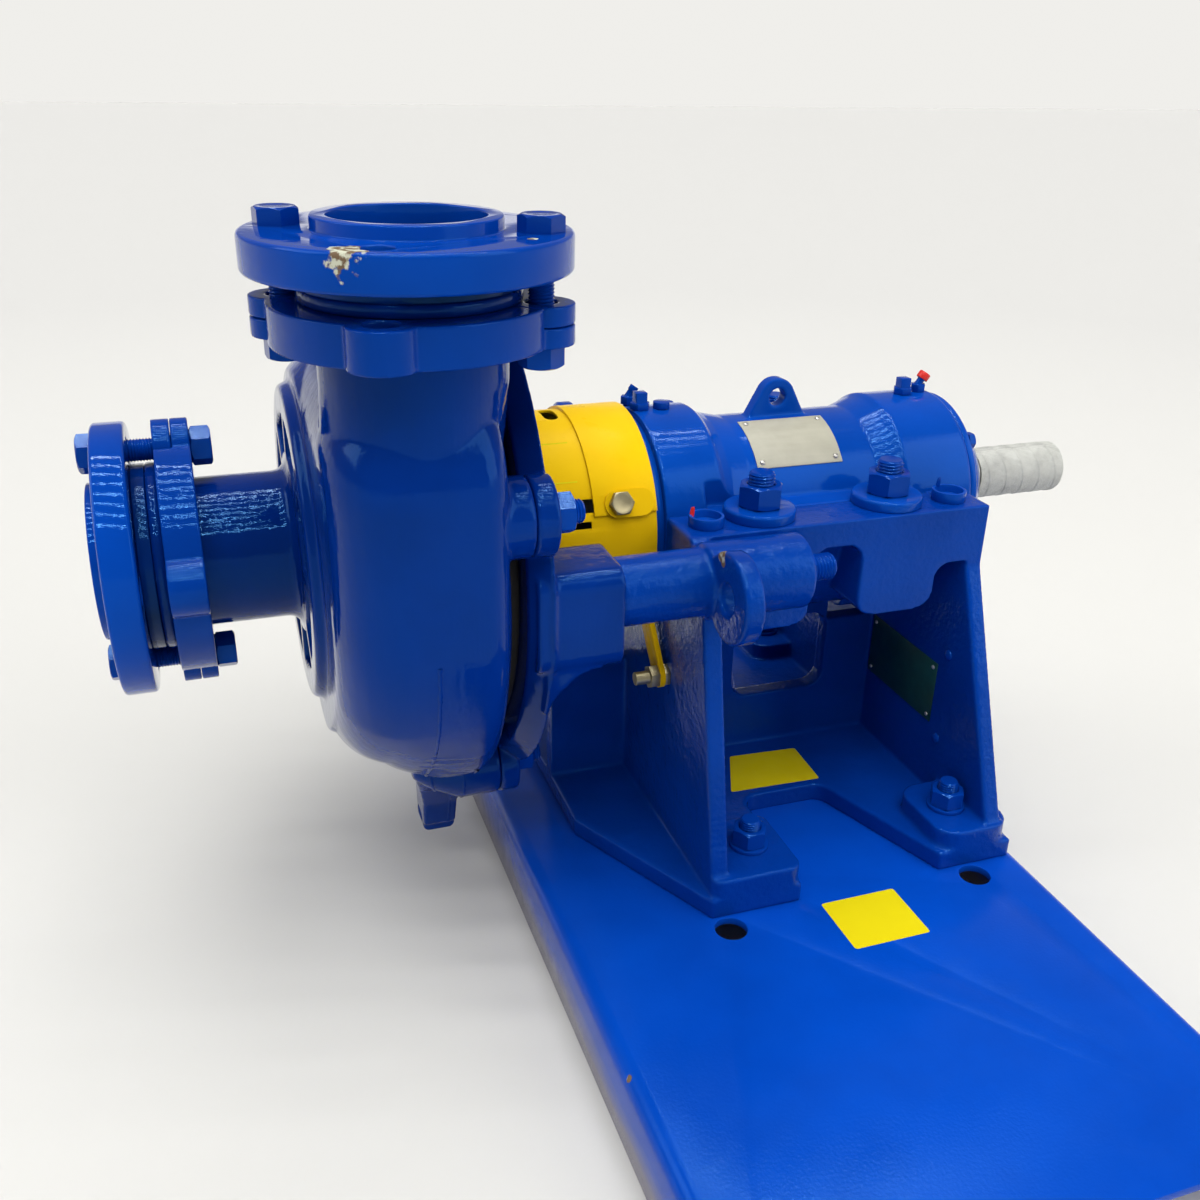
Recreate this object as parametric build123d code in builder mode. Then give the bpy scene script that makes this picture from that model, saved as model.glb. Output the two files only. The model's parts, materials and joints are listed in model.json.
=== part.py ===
# Horizontal slurry pump with loose clamped flanges, a pedestal bearing frame and a folded base plate.
# Millimetres. X runs along the shaft to the drive end, Z is up, Y points to the pump's far side.
# The origin is at floor level under the middle of the whole pump's length and of the base plate.
import os
from math import cos, radians, sin

from build123d import *

os.makedirs("parts", exist_ok=True)

# Clearances shared by mating pieces
seat_gap = 0.3          # between pieces that only stand close together
running_gap = 0.05      # radial, a shaft or a pin in its hole
bolt_gap = 1.0          # radial, a bolt in its clearance hole

# Base plate
base_width = 380.0
base_length = 740.0
base_height = 60.0
plate_thickness = 6.0
fold_radius = 12.0
far_margin = 242.0              # from the shaft's centreline to the far end of the base plate
base_centre = 268.0             # station of the base plate's middle along the shaft
anchor_hole = 24.0
anchor_spacing_x = 209.0
anchor_spacing_y = 434.0
anchor_centre = 303.5           # station of the middle of the anchor holes

# Heights and reaches from the crossing of the shaft and the discharge plane
centre_height = 250.0           # shaft above the top of the base plate
port_offset = 134.0             # discharge to the near side of the shaft
discharge_face = 237.0          # flange face above the shaft
suction_face = 195.5            # flange face ahead of the discharge plane
shaft_reach = 591.0             # drive end of the shaft

# Loose flanges and their clamped joints
flange_radius = 95.25
flange_thickness = 22.0
flange_bore = 45.7
lip_radius = 55.0
lip_height = 8.0
bolt_circle = 76.2
bolt_hole = 19.0
seal_inner = 48.0
seal_outer = 65.5
seal_thickness = 9.0
collar_radius = 66.0            # lip at the end of each casing neck, inside the bolt holes
collar_thickness = 8.0
ring_thickness = 24.0
ring_radius = 83.0
ring_lug_radius = 20.0
discharge_turn = 22.5           # the bolt pattern is turned this far about the port
suction_turn = 5.0
neck_bore = 39.0
neck_radius = 53.0

# Fasteners: across flats, head or nut height, shank diameter
m16_flats = 24.0
m16_head = 10.0
m16_nut = 14.0
m16_shank = 16.0
m20_flats = 30.0
m20_nut = 17.0
m20_shank = 20.0
m10_flats = 16.0
m10_head = 6.5
m10_nut = 7.0
m10_shank = 10.0
m8_flats = 13.0
m8_head = 5.5
m8_shank = 8.0
thread_stub = 7.0               # thread that stands out of a nut

# Casing
casing_front = 62.0             # front wall ahead of the discharge plane
casing_rear = 50.0              # rear rim behind it
near_radius = 172.0             # the outline's three quarter arcs, seen along the shaft
bottom_radius = 180.0
far_radius = 142.0
near_reach = 199.0
casing_wall = 15.0
front_round = 46.0
rear_round = 16.0
port_radius = 57.0              # discharge neck
shoulder_radius = 134.0         # flat shoulder round the suction cover
shoulder_round = 10.0
cover_radius = 114.0
cover_front = 70.0
pocket_inner = 66.0
pocket_outer = 93.0
pocket_depth = 9.0
pocket_count = 8
rear_opening = 122.0
foot_lug_y = -9.0
foot_lug_width = 28.0
foot_lug_reach = 258.0
foot_lug_hole = 20.0
stud_circle = 181.0
stud_turn = 22.0
stud_boss = 26.0

# Adapter ring between the casing and the pedestal
ring_front = 60.0
ring_rear = 75.0
adapter_radius = 184.0
adapter_bore = 108.0
arm_offset = 150.0              # guide arms to each side of the shaft
arm_top = 28.0
arm_bottom = -42.0
arm_end = 123.0
arm_half_width = 30.0

# Pedestal
front_web = 190.0
rear_web = 424.0
web_thickness = 14.0
foot_front = 125.0
foot_rear = 448.0
foot_half = 204.0
foot_thickness = 16.0
pad_height = 32.0
rail_top = 22.0
rail_thickness = 16.0
rail_overlap = 14.0             # rail inside the clamp studs
rail_round = 5.0
rail_seat = 10.0                # lowered seat that carries the housing's ledges
bar_radius = 24.0
bar_boss_radius = 27.0
bar_boss_end = 264.0
eye_offset = 188.0
eye_height = 3.0                # eye's centre above the shaft
eye_radius = 32.0
eye_hole = 22.0
clamp_front = 257.0
clamp_rear = 364.0
foot_bolt_front = 234.0
foot_bolt_rear = 409.0
foot_bolt_offset = 167.0
window_station = 334.0
window_drop = 149.0
window_length = 88.0
window_height = 72.0
window_round = 14.0

# Bearing housing
housing_front = 191.5
housing_radius = 80.0           # fat end at the pump side
fat_end = 238.0
barrel_front = 268.0
barrel_rear = 393.0
rear_swell = 16.0               # the barrel starts to swell this far ahead of its fat rear end
housing_rear = 458.0
ledge_front = 225.0
ledge_rear = 400.0
lug_station = 312.0
lug_hole = 14.0
adjust_lug_front = 388.0
adjust_lug_thickness = 16.0

# Shaft line
bearing_width = 30.0
pump_bearing = 206.0            # front faces of the two bearings
drive_bearing = 408.0
drive_radius = 21.0
drive_shoulder = 490.0
key_width = 12.0
key_height = 8.0
key_length = 70.0
sleeve_radius = 27.0
sleeve_front = 22.0
sleeve_rear = 168.0
shaft_nose = 16.0
packing_radius = 36.0
packing_width = 8.0
box_front = 28.0
box_rear = 104.0
box_radius = 48.0
gland_stud_offset = 50.0

# Impeller
impeller_radius = 107.0
impeller_front = 36.0
impeller_rear = 22.0
shroud_thickness = 8.0
eye_inner = 37.0
vane_count = 5
vane_thickness = 9.0

# Gland guard
guard_sheet = 2.0
guard_front = 92.0
guard_step = 137.0
guard_rear = 183.0

# Sizes that follow the bearing housing's radius
barrel_step = 12.0
rear_step = 3.0
cradle_air = 4.0
cradle_wall = 11.0
clamp_reach = 16.0              # clamp studs out from the housing's fat end
clamp_washer_radius = 27.0
rail_margin = 2.0
ledge_air = 0.5
lug_rise = 30.0
adjust_drop = 30.0
guard_air = 2.0
end_wall = 14.0                 # housing wall outside the cover screws
screw_wall = 16.0               # between the screw circle and the bearing
bearing_section = 22.0
barrel_radius = housing_radius - barrel_step
rear_radius = housing_radius - rear_step
cradle_clear = housing_radius + cradle_air
cradle_outer = cradle_clear + cradle_wall
clamp_offset = housing_radius + clamp_reach
rail_half = clamp_offset + clamp_washer_radius + rail_margin
ledge_half = clamp_offset - m20_shank / 2 - ledge_air
lug_height = barrel_radius + lug_rise
adjust_depth = barrel_radius + adjust_drop
guard_radius = housing_radius + guard_air
cover_screw_circle = housing_radius - end_wall
bearing_outer = cover_screw_circle - screw_wall
bearing_inner = bearing_outer - bearing_section

# Places worked out from the sizes above
shaft_z = base_height + centre_height
shaft_y = base_length / 2 - far_margin
suction_reach = suction_face + m16_head
pump_x = (suction_reach - shaft_reach) / 2
port_y = shaft_y - port_offset
base_x = pump_x + base_centre


def across(station):
    """Plane square to the shaft at a station, local x to the far side, local y up."""
    return Plane(origin=(pump_x + station, shaft_y, shaft_z), x_dir=(0, 1, 0), z_dir=(1, 0, 0))


def level(height):
    """Level plane at a height over the shaft, centred where the shaft meets the discharge plane."""
    return Plane(origin=(pump_x, shaft_y, shaft_z + height), x_dir=(1, 0, 0), z_dir=(0, 0, 1))


def port(height, turn=0.0):
    """Level plane centred on the discharge, turned about it."""
    return Plane(
        origin=(pump_x, port_y, shaft_z + height),
        x_dir=(cos(radians(turn)), -sin(radians(turn)), 0),
        z_dir=(0, 0, 1),
    )


def inlet(distance, turn=0.0):
    """Plane square to the suction, this far ahead of the discharge plane, facing outwards."""
    return Plane(
        origin=(pump_x - distance, shaft_y, shaft_z),
        x_dir=(0, sin(radians(turn)), cos(radians(turn))),
        z_dir=(-1, 0, 0),
    )


lengthways = Plane(origin=(pump_x, shaft_y, shaft_z), x_dir=(1, 0, 0), z_dir=(0, -1, 0))
shaft_axis = Axis((pump_x, shaft_y, shaft_z), (1, 0, 0))


def save(piece, name):
    piece.label = name
    export_step(piece, f"parts/{name}.step")


def turned(points):
    """Solid turned about the shaft from (station, radius) corners."""
    with BuildPart() as solid:
        with BuildSketch(lengthways):
            with BuildLine():
                Polyline(*points, close=True)
            make_face()
        revolve(axis=shaft_axis)
    return solid.part


def hex_prism(flats, height):
    with BuildPart() as prism:
        with BuildSketch():
            RegularPolygon(radius=flats / 2, side_count=6, major_radius=False)
        extrude(amount=height)
    return prism.part


def hex_bolt(flats, head, shank, length):
    """Bolt along local -Z, its head standing on the local XY plane."""
    with BuildPart() as bolt:
        add(hex_prism(flats, head))
        with BuildSketch():
            Circle(shank / 2)
        extrude(amount=-length)
        chamfer(bolt.faces().sort_by(Axis.Z)[0].edges(), shank * 0.08)
    return bolt.part


def hex_nut(flats, height, shank):
    """Nut standing on the local XY plane."""
    with BuildPart() as nut:
        add(hex_prism(flats, height))
        Hole(shank / 2 + running_gap)
    return nut.part


def stud(shank, length):
    """Stud rising from the local XY plane, chamfered at its free end."""
    with BuildPart() as rod:
        with BuildSketch():
            Circle(shank / 2)
        extrude(amount=length)
        chamfer(rod.faces().sort_by(Axis.Z)[-1].edges(), shank * 0.08)
    return rod.part


def placed(piece, planes):
    """One compound of separate solids, one at each plane."""
    with BuildPart() as group:
        for place in planes:
            with Locations(place.location):
                add(piece)
    return group.part


# Base plate: one sheet folded down along both long sides, open at both ends.
with BuildPart() as base_plate:
    with BuildSketch(Plane(origin=(base_x, base_length / 2, 0), x_dir=(1, 0, 0), z_dir=(0, -1, 0))):
        with Locations((0, base_height / 2)):
            RectangleRounded(base_width, base_height, fold_radius)
        with Locations((0, fold_radius / 2)):
            Rectangle(base_width, fold_radius)
        inner_width = base_width - 2 * plate_thickness
        inner_height = base_height - plate_thickness
        inner_fold = fold_radius - plate_thickness
        with Locations((0, inner_height / 2)):
            RectangleRounded(inner_width, inner_height, inner_fold, mode=Mode.SUBTRACT)
        with Locations((0, inner_fold / 2)):
            Rectangle(inner_width, inner_fold, mode=Mode.SUBTRACT)
    extrude(amount=base_length)
    anchor_plane = Plane(origin=(pump_x + anchor_centre, shaft_y, base_height), z_dir=(0, 0, 1))
    with Locations(anchor_plane.location):
        with GridLocations(anchor_spacing_x, anchor_spacing_y, 2, 2):
            Hole(anchor_hole / 2, depth=plate_thickness * 2)
    foot_bolt_middle = (foot_bolt_front + foot_bolt_rear) / 2
    foot_bolt_spread = foot_bolt_rear - foot_bolt_front
    foot_plane = Plane(origin=(pump_x + foot_bolt_middle, shaft_y, base_height), z_dir=(0, 0, 1))
    with Locations(foot_plane.location):
        with GridLocations(foot_bolt_spread, 2 * foot_bolt_offset, 2, 2):
            Hole(m16_shank / 2 + bolt_gap, depth=plate_thickness * 2)
save(base_plate.part, "base_plate")

# Pedestal: one casting with two cross webs, a long web, a cradle and two clamping rails.
foot_z = -centre_height
pad_top = foot_z + pad_height
notch_inner = 86.0
notch_front = 268.0
notch_rear = 340.0
notch_round = 14.0
pad_front_end = 262.0
pad_rear_start = 384.0
pad_inner = 132.0
front_pad_round = 9.0
rear_pad_round = 18.0
foot_waist = 74.0               # half width where the foot's front corners start
web_shoulder = -27.0            # height where the webs start to widen towards the foot
front_shoulder = 156.0
rear_shoulder = 125.0
rear_web_draft = 4.0            # the rear web's edge at pad height, in from the foot's edge
rib_half = 8.0
rib_top = -130.0
casting_rear = rear_web + web_thickness
rail_inner = clamp_offset - rail_overlap
boss_half = 33.0                # blocks under the clamps: half their length, and how low they reach
boss_bottom = -58.0
boss_round = 14.0
rail_wall_bottom = -22.0        # side wall from the rear block to the rear web
rail_wall_top = 2.0             # soffit ahead of the blocks
cradle_seat = housing_radius + seat_gap
rear_seat = rear_radius + seat_gap
seat_length = 45.0
ledge_travel = 6.0
adjust_slot_front = 378.0
adjust_slot_half = 16.0
adjust_slot_height = 60.0
adjust_slot_rise = 8.0          # slot's middle above the adjusting screw
clamp_stud_depth = 42.0
cap_front = 211.0
cap_rear = 414.0
cap_offset = clamp_offset + 8.0
cap_stem = 8.0
cap_hole_depth = 12.0
stay_foot_offset = 95.0
stay_foot_depth = 101.0
with BuildPart() as pedestal:
    # foot plate with its corners cut back and a notch in each long side
    with BuildSketch(level(foot_z)):
        with BuildLine():
            Polyline(
                (foot_front, -foot_waist),
                (front_web, -foot_half),
                (foot_rear, -foot_half),
                (foot_rear, foot_half),
                (front_web, foot_half),
                (foot_front, foot_waist),
                close=True,
            )
        make_face()
    extrude(amount=foot_thickness)
    for side in (-1, 1):
        with BuildSketch(level(foot_z)) as notch:
            with BuildLine():
                Polyline(
                    (notch_front, side * notch_inner),
                    (notch_rear, side * notch_inner),
                    (pad_rear_start, side * (foot_half + 1)),
                    (pad_front_end, side * (foot_half + 1)),
                    close=True,
                )
            make_face()
            inner_corners = notch.vertices().filter_by_position(Axis.X, notch_front - 1, notch_rear + 1)
            fillet(inner_corners, notch_round)
        extrude(amount=foot_thickness, mode=Mode.SUBTRACT)
    # raised pads at the four corners
    for side in (-1, 1):
        with BuildSketch(level(foot_z)):
            with Locations(((front_web + pad_front_end) / 2, side * (pad_inner + foot_half) / 2)):
                RectangleRounded(pad_front_end - front_web, foot_half - pad_inner, front_pad_round)
            with Locations(((pad_rear_start + foot_rear) / 2, side * (pad_inner + foot_half) / 2)):
                RectangleRounded(foot_rear - pad_rear_start, foot_half - pad_inner, rear_pad_round)
        extrude(amount=pad_height)
    # front cross web, wide at the foot, with a lifting eye each side
    with BuildSketch(across(front_web)):
        with BuildLine():
            Polyline(
                (-foot_half, foot_z),
                (foot_half, foot_z),
                (front_shoulder, web_shoulder),
                (front_shoulder, 0),
                (rail_half, rail_top),
                (-rail_half, rail_top),
                (-front_shoulder, 0),
                (-front_shoulder, web_shoulder),
                close=True,
            )
        make_face()
        with Locations((-eye_offset, eye_height), (eye_offset, eye_height)):
            Circle(eye_radius)
            Circle(eye_hole / 2, mode=Mode.SUBTRACT)
    extrude(amount=web_thickness)
    # rear cross web
    with BuildSketch(across(rear_web)):
        with BuildLine():
            Polyline(
                (-foot_half, foot_z),
                (foot_half, foot_z),
                (foot_half - rear_web_draft, pad_top),
                (rear_shoulder, web_shoulder),
                (rail_half, rail_top),
                (-rail_half, rail_top),
                (-rear_shoulder, web_shoulder),
                (-foot_half + rear_web_draft, pad_top),
                close=True,
            )
        make_face()
    extrude(amount=web_thickness)
    # long middle web with its window, and the rib ahead of the front web
    with BuildSketch(lengthways):
        with Locations(((front_web + rear_web) / 2, (foot_z - cradle_clear) / 2)):
            Rectangle(rear_web - front_web, -cradle_clear - foot_z)
        with Locations((window_station, -window_drop)):
            RectangleRounded(window_length, window_height, window_round, mode=Mode.SUBTRACT)
        with Locations(((foot_front + front_web) / 2, (foot_z + rib_top) / 2)):
            Rectangle(front_web - foot_front, rib_top - foot_z)
    extrude(amount=rib_half, both=True)
    # cradle trough under the housing
    with BuildSketch(across(front_web)):
        Circle(cradle_outer)
        with Locations((0, cradle_outer)):
            Rectangle(2 * cradle_outer, 2 * cradle_outer - 2 * rail_seat, mode=Mode.SUBTRACT)
    extrude(amount=rear_web - front_web + web_thickness)
    # rails that carry the clamps, with a boss under each clamp stud
    for side in (-1, 1):
        with BuildSketch(level(rail_top - rail_thickness)):
            with Locations(((front_web + casting_rear) / 2, side * (rail_half + rail_inner) / 2)):
                RectangleRounded(casting_rear - front_web, rail_half - rail_inner, rail_round)
        extrude(amount=rail_thickness)
    # side of each rail: soffit, blocks under the clamps and a deeper wall at the back
    with BuildSketch(lengthways.offset(rail_inner)) as side_wall:
        with BuildLine():
            Polyline(
                (front_web, rail_top - rail_round),
                (front_web, rail_wall_top),
                (clamp_front - boss_half, rail_wall_top),
                (clamp_front - boss_half, boss_bottom),
                (clamp_front + boss_half, boss_bottom),
                (clamp_front + boss_half, rail_wall_top),
                (clamp_rear - boss_half, rail_wall_top),
                (clamp_rear - boss_half, boss_bottom),
                (clamp_rear + boss_half, boss_bottom),
                (clamp_rear + boss_half, rail_wall_bottom),
                (rear_web, rail_wall_bottom),
                (rear_web, rail_top - rail_round),
                close=True,
            )
        make_face()
        wall_corners = side_wall.vertices().filter_by_position(Axis.Y, boss_bottom, rail_wall_top)
        wall_corners = wall_corners.filter_by_position(Axis.X, front_web + 1, rear_web - 1)
        fillet(wall_corners, boss_round)
    near_wall = extrude(amount=rail_half - rail_inner, mode=Mode.PRIVATE)
    add(near_wall)
    add(near_wall.mirror(Plane(origin=(0, shaft_y, 0), z_dir=(0, 1, 0))))
    # guide bars at shaft height and the bosses they end in
    with BuildSketch(across(arm_end)):
        with Locations((-arm_offset, 0), (arm_offset, 0)):
            Circle(bar_radius)
    extrude(amount=front_web - arm_end + 1)
    with BuildSketch(across(front_web)):
        with Locations((-arm_offset, 0), (arm_offset, 0)):
            Circle(bar_boss_radius)
    extrude(amount=bar_boss_end - front_web)
    # everything the bearing housing passes through is cut from the casting
    for start, stop, radius in (
        (front_web - 1, front_web + seat_length, cradle_seat),
        (front_web + seat_length, barrel_rear, cradle_clear),
        (barrel_rear, casting_rear + 1, rear_seat),
    ):
        with BuildSketch(across(start)):
            Circle(radius)
            with Locations((0, cradle_outer / 2)):
                Rectangle(2 * radius, cradle_outer)
        extrude(amount=stop - start, mode=Mode.SUBTRACT)
    # lowered seats for the housing's ledges
    with BuildSketch(across(ledge_front - ledge_travel)):
        with Locations((0, rail_seat + cradle_outer / 2)):
            Rectangle(2 * (ledge_half + seat_gap), cradle_outer)
    extrude(amount=ledge_rear - ledge_front + 2 * ledge_travel, mode=Mode.SUBTRACT)
    # slot for the housing's adjusting lug, and the screw's hole in the rear web
    with BuildSketch(lengthways):
        with Locations(((adjust_slot_front + rear_web) / 2, adjust_slot_rise - adjust_depth)):
            Rectangle(rear_web - adjust_slot_front, adjust_slot_height)
    extrude(amount=adjust_slot_half, both=True, mode=Mode.SUBTRACT)
    with Locations(across(casting_rear).location):
        with Locations((0, -adjust_depth)):
            Hole(m16_shank / 2 + running_gap, depth=web_thickness * 2)
    # holes: clamp studs, plugged tapped holes, foot bolts, guide bar studs, guard stay bolts
    for side in (-1, 1):
        with Locations(level(rail_top).location):
            with Locations((clamp_front, side * clamp_offset), (clamp_rear, side * clamp_offset)):
                Hole(m20_shank / 2 + running_gap, depth=clamp_stud_depth)
            with Locations((cap_front, side * cap_offset), (cap_rear, side * cap_offset)):
                Hole(cap_stem + running_gap, depth=cap_hole_depth)
        with Locations(level(pad_top).location):
            with Locations(
                (foot_bolt_front, side * foot_bolt_offset),
                (foot_bolt_rear, side * foot_bolt_offset),
            ):
                Hole(m16_shank / 2 + bolt_gap, depth=pad_height)
        with Locations(across(bar_boss_end).location):
            with Locations((side * arm_offset, 0)):
                Hole(m20_shank / 2 + bolt_gap, depth=bar_boss_end - arm_end)
        with Locations(across(front_web + web_thickness).location):
            with Locations((side * stay_foot_offset, -stay_foot_depth)):
                Hole(m10_shank / 2 + running_gap, depth=web_thickness)
save(pedestal.part, "pedestal")

# Bolts that hold the pedestal to the base plate: heads below, nuts on the pads.
foot_spots = [
    (station, side * foot_bolt_offset)
    for station in (foot_bolt_front, foot_bolt_rear)
    for side in (-1, 1)
]
washer_thickness = 3.0
m16_washer_radius = 15.0
grip = pad_height + plate_thickness
foot_bolt_length = grip + washer_thickness + m16_nut + thread_stub
under_plate = level(foot_z - plate_thickness)
foot_bolt_planes = [
    Plane(origin=under_plate.from_local_coords((x, y, 0)), x_dir=(1, 0, 0), z_dir=(0, 0, -1))
    for x, y in foot_spots
]
foot_bolts = placed(hex_bolt(m16_flats, m16_head, m16_shank, foot_bolt_length), foot_bolt_planes)
save(foot_bolts, "foot_bolts")

with BuildPart() as foot_washer:
    Cylinder(m16_washer_radius, washer_thickness, align=(Align.CENTER, Align.CENTER, Align.MIN))
    Hole(m16_shank / 2 + running_gap)
pad_planes = [Plane(origin=level(pad_top).from_local_coords((x, y, 0))) for x, y in foot_spots]
save(placed(foot_washer.part, pad_planes), "foot_washers")
foot_nut_planes = [place.offset(washer_thickness) for place in pad_planes]
save(placed(hex_nut(m16_flats, m16_nut, m16_shank), foot_nut_planes), "foot_nuts")

# Bearing housing: turned barrel with fat ends, clamping ledges, lifting lug and adjusting lug.
bearing_ledge = 7.0
housing_bore = bearing_outer - bearing_ledge
lug_thickness = 12.0
lug_half_base = 27.0
lug_round = 15.0
lug_root = 4.0                  # lug sunk into the barrel
lug_slope = 26.0                # degrees over the horizontal where the lug's rounded top starts
fat_step = 4.0                  # small step at the back of the fat end
rear_slope = 5.0
corner_break = 3.0
ledge_root = 8.0                # ledge sunk into the barrel
ledge_round = 4.0
flat_width = 40.0
screw_hole_depth = 16.0
stem_clear = 5.0                # tapped hole past the end of a plug's stem
adjust_lug_root = 6.0
adjust_lug_air = 3.0            # each side, adjusting lug in the pedestal's slot
plug_stem = 4.0
plug_depth = 12.0
plug_spots = [(198.0, 2.0, housing_radius), (430.0, 0.0, rear_radius)]
button_spot = (215.0, 0.0, housing_radius)
nipple_spots = [(197.0, 25.0, housing_radius - 2), (447.0, 4.0, rear_radius)]
with BuildPart() as bearing_housing:
    add(
        turned([
            (housing_front, bearing_outer + running_gap),
            (housing_front, housing_radius),
            (fat_end, housing_radius),
            (fat_end + fat_step, housing_radius - fat_step),
            (fat_end + 3 * fat_step, housing_radius - 2 * fat_step),
            (barrel_front, barrel_radius),
            (barrel_rear - rear_swell, barrel_radius),
            (barrel_rear, rear_radius - corner_break),
            (barrel_rear + rear_slope, rear_radius),
            (housing_rear - corner_break, rear_radius),
            (housing_rear, rear_radius - corner_break),
            (housing_rear, bearing_outer + running_gap),
            (drive_bearing, bearing_outer + running_gap),
            (drive_bearing, housing_bore),
            (pump_bearing + bearing_width, housing_bore),
            (pump_bearing + bearing_width, bearing_outer + running_gap),
        ])
    )
    # ledges that slide on the rails under the clamp washers
    for side in (-1, 1):
        with BuildSketch(level(rail_seat + seat_gap)):
            ledge_inner = barrel_radius - ledge_root
            with Locations(((ledge_front + ledge_rear) / 2, side * (ledge_half + ledge_inner) / 2)):
                RectangleRounded(ledge_rear - ledge_front, ledge_half - ledge_inner, ledge_round)
        extrude(amount=rail_top - rail_seat - 2 * seat_gap)
        # milled flats that leave room for the clamp washers
        with BuildSketch(level(rail_top - seat_gap)):
            flat_inner = clamp_offset - clamp_washer_radius - 1
            with Locations((clamp_front, side * (flat_inner + flat_width / 2))):
                Rectangle(2 * (clamp_washer_radius + ledge_travel), flat_width)
        extrude(amount=flat_width, mode=Mode.SUBTRACT)
    # tapped holes for the cover screws in both end faces
    for face, outward in ((housing_front, -1), (housing_rear, 1)):
        end_face = Plane(origin=across(face).origin, x_dir=(0, 1, 0), z_dir=(outward, 0, 0))
        with Locations(end_face.location):
            with PolarLocations(cover_screw_circle, 4, start_angle=45):
                Hole(m8_shank / 2 + running_gap, depth=screw_hole_depth)
    # tapped holes for the grease plugs and nipples
    for x, y, seat in plug_spots + [button_spot] + nipple_spots:
        with Locations(Plane(origin=level(seat + stem_clear - 1).from_local_coords((x, y, 0))).location):
            Hole(plug_stem + running_gap, depth=plug_depth + stem_clear)
    # lifting lug on top
    with BuildSketch(lengthways):
        with BuildLine():
            crown = lug_height - lug_round
            root = barrel_radius - lug_root
            arc_half = lug_round * cos(radians(lug_slope))
            arc_end = crown + lug_round * sin(radians(lug_slope))
            Line((lug_station - lug_half_base, root), (lug_station + lug_half_base, root))
            Line((lug_station + lug_half_base, root), (lug_station + arc_half, arc_end))
            ThreePointArc(
                (lug_station + arc_half, arc_end),
                (lug_station, lug_height),
                (lug_station - arc_half, arc_end),
            )
            Line((lug_station - arc_half, arc_end), (lug_station - lug_half_base, root))
        make_face()
        with Locations((lug_station, crown)):
            Circle(lug_hole / 2, mode=Mode.SUBTRACT)
    extrude(amount=lug_thickness / 2, both=True)
    # adjusting lug below, in the pedestal's slot
    with BuildSketch(across(adjust_lug_front)):
        adjust_lug_top = adjust_lug_root - barrel_radius
        adjust_lug_half = adjust_slot_half - adjust_lug_air
        with Locations((0, (adjust_lug_top - adjust_depth) / 2)):
            Rectangle(2 * adjust_lug_half, adjust_lug_top + adjust_depth)
        with Locations((0, -adjust_depth)):
            Circle(adjust_lug_half)
            Circle(m16_shank / 2 + running_gap, mode=Mode.SUBTRACT)
    extrude(amount=adjust_lug_thickness)
save(bearing_housing.part, "bearing_housing")

# End covers of the bearing housing, each with a spigot in the bore and a hole for the seal.
seal_section = 6.0
spigot_wall = 7.0
cover_bore = bearing_inner + seal_section
spigot_inner = bearing_outer - spigot_wall
pump_cover_front = 181.0
screw_land = 9.0
pump_cover_radius = cover_screw_circle + screw_land
drive_cover_rear = 490.0
with BuildPart() as pump_cover:
    add(
        turned([
            (pump_cover_front, cover_bore),
            (pump_cover_front, pump_cover_radius - corner_break),
            (pump_cover_front + corner_break, pump_cover_radius),
            (housing_front, pump_cover_radius),
            (housing_front, bearing_outer - running_gap),
            (pump_bearing, bearing_outer - running_gap),
            (pump_bearing, spigot_inner),
            (housing_front, spigot_inner),
            (housing_front, cover_bore),
        ])
    )
    with Locations(across(housing_front).location):
        with PolarLocations(cover_screw_circle, 4, start_angle=45):
            Hole(m8_shank / 2 + running_gap, depth=housing_front - pump_cover_front)
save(pump_cover.part, "pump_end_cover")

drive_cover_flange = 465.0
drive_cover_radius = cover_screw_circle + screw_land - 1
drive_cover_hub = cover_screw_circle - screw_land + 1
hub_draft = 2.0
hub_slope = 8.0                 # length and depth of the hub's sloping shoulder
hub_nose = 7.0
nose_length = 5.0
with BuildPart() as drive_cover:
    add(
        turned([
            (drive_bearing + bearing_width, spigot_inner),
            (drive_bearing + bearing_width, bearing_outer - running_gap),
            (housing_rear, bearing_outer - running_gap),
            (housing_rear, drive_cover_radius),
            (drive_cover_flange - hub_draft, drive_cover_radius),
            (drive_cover_flange, drive_cover_radius - hub_draft),
            (drive_cover_flange, drive_cover_hub),
            (drive_cover_rear - nose_length - hub_slope, drive_cover_hub - hub_draft),
            (drive_cover_rear - nose_length, drive_cover_hub - hub_draft - hub_slope),
            (drive_cover_rear, drive_cover_hub - hub_draft - hub_slope - hub_nose),
            (drive_cover_rear, cover_bore),
            (housing_rear, cover_bore),
            (housing_rear, spigot_inner),
        ])
    )
    with Locations(across(drive_cover_flange).location):
        with PolarLocations(cover_screw_circle, 4, start_angle=45):
            Hole(m8_shank / 2 + running_gap, depth=drive_cover_flange - housing_rear)
save(drive_cover.part, "drive_end_cover")

screw_length = 18.0
screw_spots = [
    (cover_screw_circle * cos(radians(45 + 90 * k)), cover_screw_circle * sin(radians(45 + 90 * k)), 0)
    for k in range(4)
]
screw_planes = []
for face, outward in ((pump_cover_front, -1), (drive_cover_flange, 1)):
    for spot in screw_spots:
        seat = across(face).from_local_coords(spot)
        screw_planes.append(Plane(origin=seat, x_dir=(0, 1, 0), z_dir=(outward, 0, 0)))
save(placed(hex_bolt(m8_flats, m8_head, m8_shank, screw_length), screw_planes), "cover_screws")

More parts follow.
